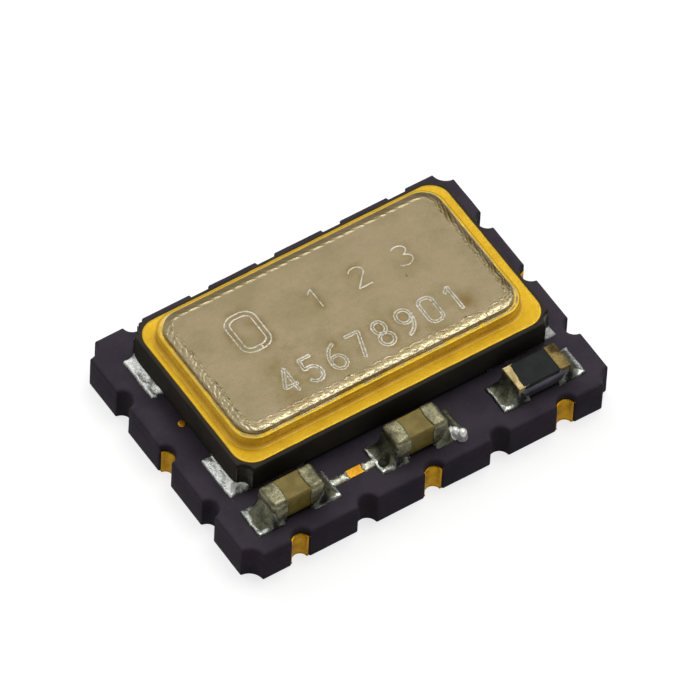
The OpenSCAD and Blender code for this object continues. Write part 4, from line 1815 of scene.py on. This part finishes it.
@dataclass
class ChipResistor:
    """Chip resistor: pale substrate, dark glassy coat and two folded terminals."""

    substrate: Box = box_of("resistor_substrate")
    coat: Box = box_of("resistor_coat")
    film: float = 0.02
    wrap: float = 0.004
    drape: float = 0.055
    over: float = 0.006
    edge: float = 0.008
    coat_round: float = 0.03
    coat_edge: float = 0.018
    crown: float = 0.002
    spill: Pair = (0.075, 0.13)

    def build(self) -> None:
        """Make the resistor."""
        low, high = self.substrate.levels
        size, middle = self.substrate.footprint, self.substrate.middle
        plan = RoundedRectangle(size, self.edge, middle, spacing=0.06, per_corner=3)
        draft = Draft()
        plate(draft, plan, low, high, self.edge)
        draft.make("resistor_ceramic", [Look.SUBSTRATE], ["resistor_substrate"])
        size = (self.coat.size[0], self.substrate.size[1] + 2 * self.wrap)
        plan = RoundedRectangle(size, self.coat_round, self.coat.middle, spacing=0.02, per_corner=5)
        draft = Draft()
        top = high + self.film + self.over
        plate(draft, plan, self.coat.low[2] - self.drape, top, self.coat_edge, self.crown)
        places = draft.points[0]
        across = (self.coat.high[1] - places[:, 1]) / self.coat.size[1]
        left = np.clip((self.coat.centre[0] - places[:, 0]) / self.coat.size[0] * 2, 0, 1) ** 6
        ragged = 0.012 * Grain(95, 0.09).at(places)
        places[:, 0] -= left * (self.spill[0] + (self.spill[1] - self.spill[0]) * across + ragged)
        draft.make("resistor_glass", [Look.COAT], ["resistor_coat"])
        self.build_band(Side.LEFT)
        self.build_band(Side.RIGHT)

    def build_band(self, end: Side) -> None:
        """Make one folded terminal.

        Args:
            end: Side.LEFT or Side.RIGHT.
        """
        node = f"resistor_band_{end.name.lower()}"
        box = Box.of(node)
        length, height = box.size[0], box.size[2]
        turn = np.linspace(0, math.pi / 2, 5)
        bend = self.film * 0.9
        upper = np.stack([length - bend + bend * np.sin(turn), height - bend + bend * np.cos(turn)], -1)
        lower = upper[::-1] * (1, -1) + (0, height)
        thin = self.film
        inside = [(0.0, 0.0), (0.0, thin), (length - thin, thin)]
        inside += [(length - thin, height - thin), (0.0, height - thin), (0.0, height)]
        outline = np.concatenate([upper, lower, np.array(inside)])
        if end is Side.LEFT:
            outline[:, 0] = -outline[:, 0]
        start = box.low[0] if end is Side.RIGHT else box.high[0]
        rows = []
        for place in np.linspace(box.low[1], box.high[1], 9):
            row = np.column_stack([start + outline[:, 0], np.full(len(outline), place)])
            rows.append(np.column_stack([row, box.low[2] + outline[:, 1]]))
        shape = roughened(np.array(rows), box.centre, 91, 0.003)
        draft = Draft()
        numbers = draft.add(shape)
        numbers = numbers if end is Side.LEFT else numbers[:, ::-1]
        draft.skin(numbers)
        draft.close(numbers[0], flip=True)
        draft.close(numbers[-1])
        look = Look.FILM if end is Side.LEFT else Look.DARK_FILM
        draft.make(f"{node}_film", [look], [node], crease=60)


def box_distance(points: Array, low: Array, high: Array, radius: float) -> Array:
    """Distance from places on the base to a round-cornered rectangle, below 0 inside it.

    Args:
        points: The places.
        low: Lowest corner of the rectangle.
        high: Highest corner of the rectangle.
        radius: Radius of its corners.

    Returns:
        The distances.
    """
    away = abs(points - (low + high) / 2) - ((high - low) / 2 - radius)
    outside = np.linalg.norm(np.maximum(away, 0), axis=-1)
    return outside + np.minimum(away.max(-1), 0) - radius


@dataclass(frozen=True)
class Hollow:
    """Round hollow in a joint, burnt out by the flux."""

    x: float
    y: float
    radius: float
    floor: float = 0.032
    bowl: float = 0.02

    def near(self, flat: Array) -> Array:
        """Distance of places on the base from its middle, in shares of its radius."""
        return np.hypot(flat[..., 0] - self.x, flat[..., 1] - self.y) / self.radius


@dataclass(frozen=True)
class Ball:
    """Ball of solder beside a joint, on a neck of two smaller drops."""

    place: Pair
    neck: Pair
    level: float
    radius: float
    skirt: float = 1.12
    reach: float = 1.2

    def drops(self) -> list[tuple[Array, float, float]]:
        """The ball and the drops of its neck.

        Returns:
            Middle, height and radius of each.
        """
        place, neck = np.array(self.place), np.array(self.neck)
        shares = ((place, 0.0, 1.0), (neck, 0.1, 0.95), ((place + neck) / 2, 0.2, 0.72))
        return [(at, self.level - low * self.radius, wide * self.radius) for at, low, wide in shares]

    def beside(self, flat: Array) -> Array:
        """Distance of places on the base from the line through the drops.

        Args:
            flat: The places.

        Returns:
            The distances.
        """
        start, end = np.array(self.neck), np.array(self.place)
        along = np.clip((flat - start) @ (end - start) / np.sum((end - start) ** 2), 0, 1)
        return np.linalg.norm(flat - start - along[..., None] * (end - start), axis=-1)


@dataclass
class SolderJoint:
    """Solder on a land, drawn up against what stands on it and hollow between the two."""

    name: str
    node: str
    land: tuple[Array, Array]
    ground: float
    under: float
    stands: Callable[[Array], Array]
    climb: Callable[[Array], Array]
    seed: int
    bend: float = 2.2
    edge: float = 0.038
    bead: float = 0.035
    lumps: float = 0.006
    rim: float = 1.0
    margin: float = 0.06
    cover: float = 0.012
    cell: float = 0.0085
    land_round: float = 0.02
    raggedness: float = 0.012
    overlap: float = 0.012
    tail: tuple[Array, Array] | None = None
    tail_film: float = 0.012
    tail_swell: float = 0.034
    tail_slope: float = 0.07
    tail_ragged: float = 0.016
    ball: Ball | None = None
    hollow: Hollow | None = None

    def heights(self, flat: Array) -> Array:
        """Height of the solder over places on the base.

        Args:
            flat: The places.

        Returns:
            Heights from the pads' plane.
        """
        spot = np.concatenate([flat, np.full((*flat.shape[:-1], 1), self.ground)], -1)
        ragged = self.raggedness * Grain(self.seed, 0.07).at(spot)
        inside = self.cover - box_distance(flat, *self.land, self.land_round) + ragged
        gap = self.stands(flat)
        close = np.maximum(gap, 0)
        share = close / (close + np.maximum(inside, 0) + 1e-6)
        drawn = self.climb(flat) * (1 - share) ** self.bend
        bead = self.edge * np.sqrt(1 - (1 - np.clip(inside / self.bead, 0, 1)) ** 2)
        lump = self.lumps * Grain(self.seed + 1, 0.1).at(spot)
        lump += 0.25 * self.lumps * Grain(self.seed + 2, 0.035).at(spot)
        top = self.ground + bead + drawn + lump * np.clip(inside / 0.05, 0, 1)
        out = np.where(inside > 0, top, self.ground - SUNK)
        if self.hollow is not None:
            near = self.hollow.near(flat)
            drop = np.clip((1.15 - near) / 0.5, 0, 1)
            floor = np.minimum(out, self.ground + self.hollow.floor + self.hollow.bowl * near**2)
            out = np.where(inside > 0.02, out + (floor - out) * drop**2 * (3 - 2 * drop), out)
        out = np.where(gap < -self.overlap, self.under, out)
        if self.tail is not None:
            out = np.maximum(out, self.tail_height(flat, spot))
        if self.ball is not None:
            skirt = self.ball.skirt
            for centre, level, wide in self.ball.drops():
                off = np.linalg.norm(flat - centre, axis=-1) / wide
                dome = level + wide * np.sqrt(np.clip(1 - off**2, 0, 1)) - self.ground + SUNK
                side = self.ground - SUNK + dome * np.clip((skirt - off) / 0.2, 0, 1)
                out = np.where((off < skirt) & (gap > -self.overlap), np.maximum(out, side), out)
        return out

    def tail_height(self, flat: Array, spot: Array) -> Array:
        """Height of the solder that ran out along a conductor.

        Args:
            flat: Places on the base.
            spot: The same places in space.

        Returns:
            Heights from the pads' plane.
        """
        ragged = self.tail_ragged * Grain(self.seed + 3, 0.05).at(spot)
        inside = -box_distance(flat, *self.tail, 0.03) + ragged
        swell = self.tail_swell * np.sqrt(np.clip(inside / self.tail_slope, 0, 1))
        swell *= 1 + 0.25 * Grain(self.seed + 4, 0.08).at(spot)
        return np.where(inside > 0, self.ground + self.tail_film + swell, self.ground - SUNK)

    def patches(self, flat: Array) -> Array:
        """Which finish shows at each place.

        Args:
            flat: The places.

        Returns:
            Numbers of the Patch options.
        """
        spot = np.concatenate([flat, np.full((*flat.shape[:-1], 1), self.ground)], -1)
        outside = box_distance(flat, *self.land, self.land_round)
        deep = -outside - self.rim * (1 + Grain(self.seed + 6, 0.1).at(spot))
        out = np.where(deep > 0, Patch.FLUX.value, Patch.PLAIN.value)
        if self.tail is not None:
            out[outside > 0] = Patch.RUN_OUT.value
        if self.hollow is not None:
            out[self.hollow.near(flat) < 0.75] = Patch.HOLLOW.value
        # The ball and its neck take the whitened solder, a painted light.
        if self.ball is not None:
            out[self.ball.beside(flat) < self.ball.reach * self.ball.radius] = Patch.DROP.value
        return out

    def build(self, looks: Sequence[Look]) -> None:
        """Make the joint.

        Args:
            looks: Its finishes, in the order of Patch.
        """
        low, high = self.land[0] - self.margin, self.land[1] + self.margin
        if self.tail is not None:
            low, high = np.minimum(low, self.tail[0]), np.maximum(high, self.tail[1])
        if self.ball is not None:
            place, reach = np.array(self.ball.place), self.ball.reach * self.ball.radius
            low, high = np.minimum(low, place - reach), np.maximum(high, place + reach)
        counts = np.ceil((high - low) / self.cell).astype(int)
        across = np.linspace(low[0], high[0], counts[0] + 1)
        along = np.linspace(low[1], high[1], counts[1] + 1)
        flat = np.stack(np.meshgrid(across, along), -1)
        level = self.heights(flat)
        draft = Draft()
        numbers = draft.add(np.concatenate([flat, level[..., None]], -1))
        draft.skin(numbers, around=False)
        wet = level > self.ground - SUNK + 1e-6
        used = wet[:-1, :-1] | wet[1:, :-1] | wet[:-1, 1:] | wet[1:, 1:]
        keep = used.ravel()
        draft.faces = [face for face, kept in zip(draft.faces, keep) if kept]
        draft.slots = self.patches((flat[:-1, :-1] + flat[1:, 1:]) / 2).ravel()[keep].tolist()
        draft.make(self.name, looks, [self.node], crease=75)


@dataclass
class SolderWork:
    """All the solder joints: one at each end of each chip, one at each corner of the package."""

    base_top: float = field(default_factory=lambda: float(Box.of("base_ceramic").high[2]))
    chip_land: float = 0.5
    chip_width: float = 0.57
    package_land: Pair = (1.3, 0.85)
    package_climb: float = 0.23
    notch_radius: float = 0.2
    strip_width: float = 0.165
    tinned: Pair = (-1.26, -1.0)
    ball_radius: float = 0.082
    hollow_at: Pair = (0.065, -0.12)
    hollow_radius: float = 0.1
    capacitor_climb: float = 0.34
    resistor_climb: float = 0.33
    capacitor_rim: float = 0.07
    resistor_rim: float = 0.06

    def chip_joint(self, chip: str, number: int, seed: int, chip_box: Box, climb: float) -> SolderJoint:
        """Joint at one end of a chip.

        Args:
            chip: Name of the chip.
            number: 1 for its left end, 2 for its right.
            seed: Seed of the solder's lumps.
            chip_box: Box of the whole chip.
            climb: Height that the solder climbs.

        Returns:
            The joint.
        """
        node = f"solder_{chip}_{number}"
        way = -1 if number == 1 else 1
        end = float(chip_box.centre[0] + way * chip_box.size[0] / 2)
        outer = float(Box.of(node).low[0] if number == 1 else Box.of(node).high[0])
        inner = outer - way * self.chip_land
        middle = chip_box.centre[1]
        half = self.chip_width / 2
        low = np.array([min(outer, inner), middle - half])
        high = np.array([max(outer, inner), middle + half])

        def stands(flat: Array) -> Array:
            """Distance from the chip's side."""
            return box_distance(flat, chip_box.low[:2], chip_box.high[:2], 0.05)

        def rise(flat: Array) -> Array:
            """Height of the solder where it meets the chip."""
            back = np.maximum((end - flat[..., 0]) * way, 0)
            return climb * (0.12 + 0.88 * np.exp(-((back / 0.11) ** 2)))

        return SolderJoint(
            name=f"{node}_tin",
            node=node,
            land=(low, high),
            ground=self.base_top,
            under=chip_box.low[2],
            stands=stands,
            climb=rise,
            seed=seed,
        )

    def package_joint(self, place: str, seed: int) -> SolderJoint:
        """Joint at one corner of the package.

        Args:
            place: Name of the corner.
            seed: Seed of the solder's lumps.

        Returns:
            The joint.
        """
        node = f"solder_package_{place}"
        housing = Box.of("housing")
        side = np.array([-1 if "left" in place else 1, -1 if "front" in place else 1])
        corner = housing.centre[:2] + side * housing.size[:2] / 2
        lands = Box.of("crystal_lands")
        outer = lands.centre[:2] + side * lands.size[:2] / 2
        inner = outer - side * self.package_land
        low, high = np.minimum(outer, inner), np.maximum(outer, inner)

        def stands(flat: Array) -> Array:
            """Distance from the package's side or its corner notch."""
            notch = self.notch_radius - np.linalg.norm(flat - corner, axis=-1)
            return np.maximum(box_distance(flat, housing.low[:2], housing.high[:2], 0.001), notch)

        def rise(flat: Array) -> Array:
            """Height of the solder where it meets the package."""
            near = np.linalg.norm(flat - corner, axis=-1)
            return 0.02 + self.package_climb * np.exp(-((near / self.notch_radius) ** 2))

        return SolderJoint(
            name=f"{node}_tin",
            node=node,
            land=(low, high),
            ground=self.base_top,
            under=housing.low[2],
            stands=stands,
            climb=rise,
            seed=seed,
            edge=0.028,
            lumps=0.007,
            bend=1.8,
        )

    def build(self) -> None:
        """Make every joint."""
        looks = [Look.SOLDER, Look.DROP, Look.FLUX, Look.PIT, Look.RUN_OUT]
        for index, chip in enumerate(("capacitor_left", "capacitor_middle")):
            whole = Box(Box.of(f"{chip}_cap_left").low, Box.of(f"{chip}_cap_right").high)
            for number in (1, 2):
                seed = 101 + 20 * index + 7 * number
                joint = self.chip_joint(chip, number, seed, whole, self.capacitor_climb)
                joint.rim = self.capacitor_rim
                self.add_details(joint, chip, number)
                joint.build(looks)
        whole = Box(Box.of("resistor_band_left").low, Box.of("resistor_band_right").high)
        for number in (1, 2):
            joint = self.chip_joint("resistor", number, 161 + 7 * number, whole, self.resistor_climb)
            joint.rim = self.resistor_rim
            joint.build(looks)
        for index, place in enumerate(("front_left", "front_right", "back_left", "back_right")):
            self.package_joint(place, 201 + 9 * index).build([Look.TINNING])

    def add_details(self, joint: SolderJoint, chip: str, number: int) -> None:
        """Add what only some joints have: a run-out, a ball or a hollow.

        Args:
            joint: The joint.
            chip: Name of its chip.
            number: 1 for its left end, 2 for its right.
        """
        middle = float((joint.land[0][1] + joint.land[1][1]) / 2)
        half = self.strip_width / 2 + 0.004
        if (chip, number) == ("capacitor_left", 2):
            start = joint.land[1][0] - 0.05
            joint.tail = (np.array([start, middle - half]), np.array([self.tinned[0], middle + half]))
        if (chip, number) == ("capacitor_middle", 1):
            end = joint.land[0][0] + 0.05
            joint.tail = (np.array([self.tinned[1], middle - half]), np.array([end, middle + half]))
            across, along = self.hollow_at
            joint.hollow = Hollow(end + across, middle + along, self.hollow_radius)
            joint.rim = 0.05
            joint.bead = 0.025
            joint.edge = 0.045
        if (chip, number) == ("capacitor_middle", 2):
            radius = self.ball_radius
            x, y = joint.land[1][0] - 0.8 * radius, joint.land[0][1] - 0.5 * radius
            neck = (x - 0.95 * radius, y + 1.2 * radius)
            joint.ball = Ball((x, y), neck, joint.under + radius, radius)
            joint.rim = -0.05
            joint.cover = 0.034
            joint.bead = 0.06
            joint.edge = 0.024


@dataclass
class HiddenPieces:
    """Pieces inside the package, under it and beneath the solder, which keep their CAD form."""

    def build(self) -> None:
        """Give each its finish."""
        looks = {
            "crystal_lands": Look.TINNING,
            "chip_lands": Look.TINNING,
            "circuit_die": Look.SILICON,
            "die_bumps": Look.BRIGHT_GOLD,
            "die_underfill": Look.UNDERFILL,
            "quartz_blank": Look.QUARTZ,
            "electrode_upper": Look.SILVER,
            "electrode_lower": Look.SILVER,
            "mounting_pad_front": Look.PRINTED_GOLD,
            "mounting_pad_back": Look.PRINTED_GOLD,
            "adhesive_front": Look.ADHESIVE,
            "adhesive_back": Look.ADHESIVE,
        }
        for node, look in looks.items():
            dress_node(node, look)
            LOG.info("%s: CAD form, %s", node, look.name)


@dataclass(frozen=True)
class Lamp:
    """Soft square lamp that looks at the module, with its place and width in millimetres."""

    name: str
    place: Triple
    across: float
    light: float
    colour: Colour = (1.0, 0.99, 0.97)

    def build(self) -> None:
        """Hang the lamp."""
        data = bpy.data.lights.new(self.name, "AREA")
        data.shape = "SQUARE"
        data.size = self.across * MM
        data.energy = self.light * math.pi * (self.across * MM) ** 2
        data.color = self.colour
        lamp = bpy.data.objects.new(self.name, data)
        lamp.location = Vector(self.place) * MM
        lamp.rotation_mode = "QUATERNION"
        lamp.rotation_quaternion = (-Vector(self.place)).to_track_quat("-Z", "Y")
        bpy.context.scene.collection.objects.link(lamp)


@dataclass
class Studio:
    """White room: a pale floor, soft lamps and the camera at the photograph's angle."""

    azimuth: float = -35.8521
    elevation: float = 52.8353
    roll: float = 3.3804
    distance: float = 184.8719
    shift: Pair = (-0.0351, -0.5976)
    focal_pixels: float = 11461.48
    frame_pixels: float = 700.0
    sensor: float = 36.0
    room: float = 60.0
    low_light: float = 0.52
    front_light: float = 0.08
    back_light: float = 0.95
    back_way: Triple = (0.22, 0.7, 0.68)
    wall_light: float = 0.28
    ceiling_light: float = 0.8
    floor_grey: float = 0.32
    floor_glow: float = 0.76
    lamps: tuple[Lamp, ...] = (
        Lamp("overhead lamp", (46.0, 13.0, 121.0), across=64.0, light=4.6),
        Lamp("back lamp", (0.0, 112.0, 98.0), across=150.0, light=0.6),
    )

    def build_camera(self) -> None:
        """Place the camera."""
        azimuth, elevation, roll = map(math.radians, (self.azimuth, self.elevation, self.roll))
        back = Vector(
            (
                math.sin(azimuth) * math.cos(elevation),
                -math.cos(azimuth) * math.cos(elevation),
                math.sin(elevation),
            )
        )
        right = Vector((0, 0, 1)).cross(back).normalized()
        up = back.cross(right)
        turned_right = math.cos(roll) * right + math.sin(roll) * up
        turned_up = math.cos(roll) * up - math.sin(roll) * right
        place = back * self.distance - turned_right * self.shift[0] - turned_up * self.shift[1]
        data = bpy.data.cameras.new("camera")
        data.sensor_width = self.sensor
        data.lens = self.focal_pixels * self.sensor / self.frame_pixels
        data.clip_start, data.clip_end = self.distance * MM * 0.1, self.distance * MM * 20
        camera = bpy.data.objects.new("camera", data)
        matrix = Matrix((turned_right, turned_up, back)).transposed().to_4x4()
        matrix.translation = place * MM
        camera.matrix_world = matrix
        bpy.context.scene.collection.objects.link(camera)
        bpy.context.scene.camera = camera

    def build_world(self) -> None:
        """Show the room white, and give it pale lower walls and a bright ceiling in reflections."""
        world = bpy.data.worlds.new("room")
        world.use_nodes = True
        nodes = Nodes(world.node_tree)
        rays = nodes.tree.nodes.new("ShaderNodeLightPath").outputs
        seen = nodes.worked("MAXIMUM", rays["Is Camera Ray"], rays["Is Transmission Ray"])
        way = nodes.tree.nodes.new("ShaderNodeTexCoord").outputs["Generated"]
        split = nodes.tree.nodes.new("ShaderNodeSeparateXYZ")
        nodes.link(split.inputs[0], way)
        height = split.outputs["Z"]
        upper = nodes.span(height, 0.3, 0.95, self.wall_light, self.ceiling_light, smooth=False)
        mirrored = nodes.span(height, 0.0, 0.1, 1.0, upper, smooth=False)
        facing = nodes.tree.nodes.new("ShaderNodeVectorMath")
        facing.operation = "DOT_PRODUCT"
        nodes.link(facing.inputs[0], way)
        facing.inputs[1].default_value = self.back_way
        near_floor = nodes.span(height, 0.05, 0.5, self.low_light, self.front_light, smooth=False)
        from_back = nodes.span(facing.outputs["Value"], 0.4, 0.9, 0.0, self.back_light, smooth=False)
        soft = nodes.worked("ADD", near_floor, from_back)
        unseen = nodes.span(rays["Is Glossy Ray"], 0.0, 1.0, soft, mirrored, smooth=False)
        strength = nodes.span(seen, 0.0, 1.0, unseen, 1.0, smooth=False)
        sky = nodes.tree.nodes["Background"]
        sky.inputs["Color"].default_value = (1.0, 1.0, 1.0, 1.0)
        nodes.link(sky.inputs["Strength"], strength)
        bpy.context.scene.world = world

    def build_floor(self) -> None:
        """Lay a pale floor that keeps the module's soft shadow."""
        mesh = bpy.data.meshes.new("floor")
        half = self.room * MM
        corners = [(-half, -half, 0), (half, -half, 0), (half, half, 0), (-half, half, 0)]
        mesh.from_pydata(corners, [], [(0, 1, 2, 3)])
        floor = bpy.data.objects.new("floor", mesh)
        finish = Finish("pale floor")
        path = finish.tree.nodes.new("ShaderNodeLightPath")
        rays = (path.outputs[f"Is {name} Ray"] for name in ("Camera", "Glossy", "Transmission"))
        seen: Value = 0.0
        for ray in rays:
            seen = finish.worked("MAXIMUM", ray, seen)
        glow = finish.worked("MULTIPLY", seen, self.floor_glow)
        finish.dress(
            base_color=(self.floor_grey,) * 3,
            roughness=0.9,
            emission_color=(1.0, 1.0, 1.0),
            emission_strength=glow,
        )
        mesh.materials.append(finish.material)
        bpy.context.scene.collection.objects.link(floor)

    def build(self) -> None:
        """Set up the room."""
        bpy.context.scene.view_settings.view_transform = "Standard"
        self.build_camera()
        self.build_world()
        self.build_floor()
        for lamp in self.lamps:
            lamp.build()


def main() -> None:
    """Build and dress the module, then set up the room."""
    logging.basicConfig(level=logging.INFO, format="%(message)s")
    CeramicBase().build()
    sides = {"front": Side.FRONT, "back": Side.BACK}
    for seed, (row, side) in enumerate(sides.items()):
        for step, place in enumerate(("left", "middle", "right")):
            GoldTerminal(f"terminal_{row}_{place}", side, seed=3 * seed + step).build()
    GoldTerminal("terminal_end_left", Side.LEFT, seed=6).build()
    GoldTerminal("terminal_end_right", Side.RIGHT, seed=7).build()
    PrintedMetal().build()
    marks = Marking()
    Package().build(marks)
    marks.build()
    for seed, name in enumerate(("capacitor_left", "capacitor_middle")):
        ChipCapacitor(name, 81 + 20 * seed).build()
    ChipResistor().build()
    SolderWork().build()
    HiddenPieces().build()
    Studio().build()


if __name__ == "__main__":
    main()
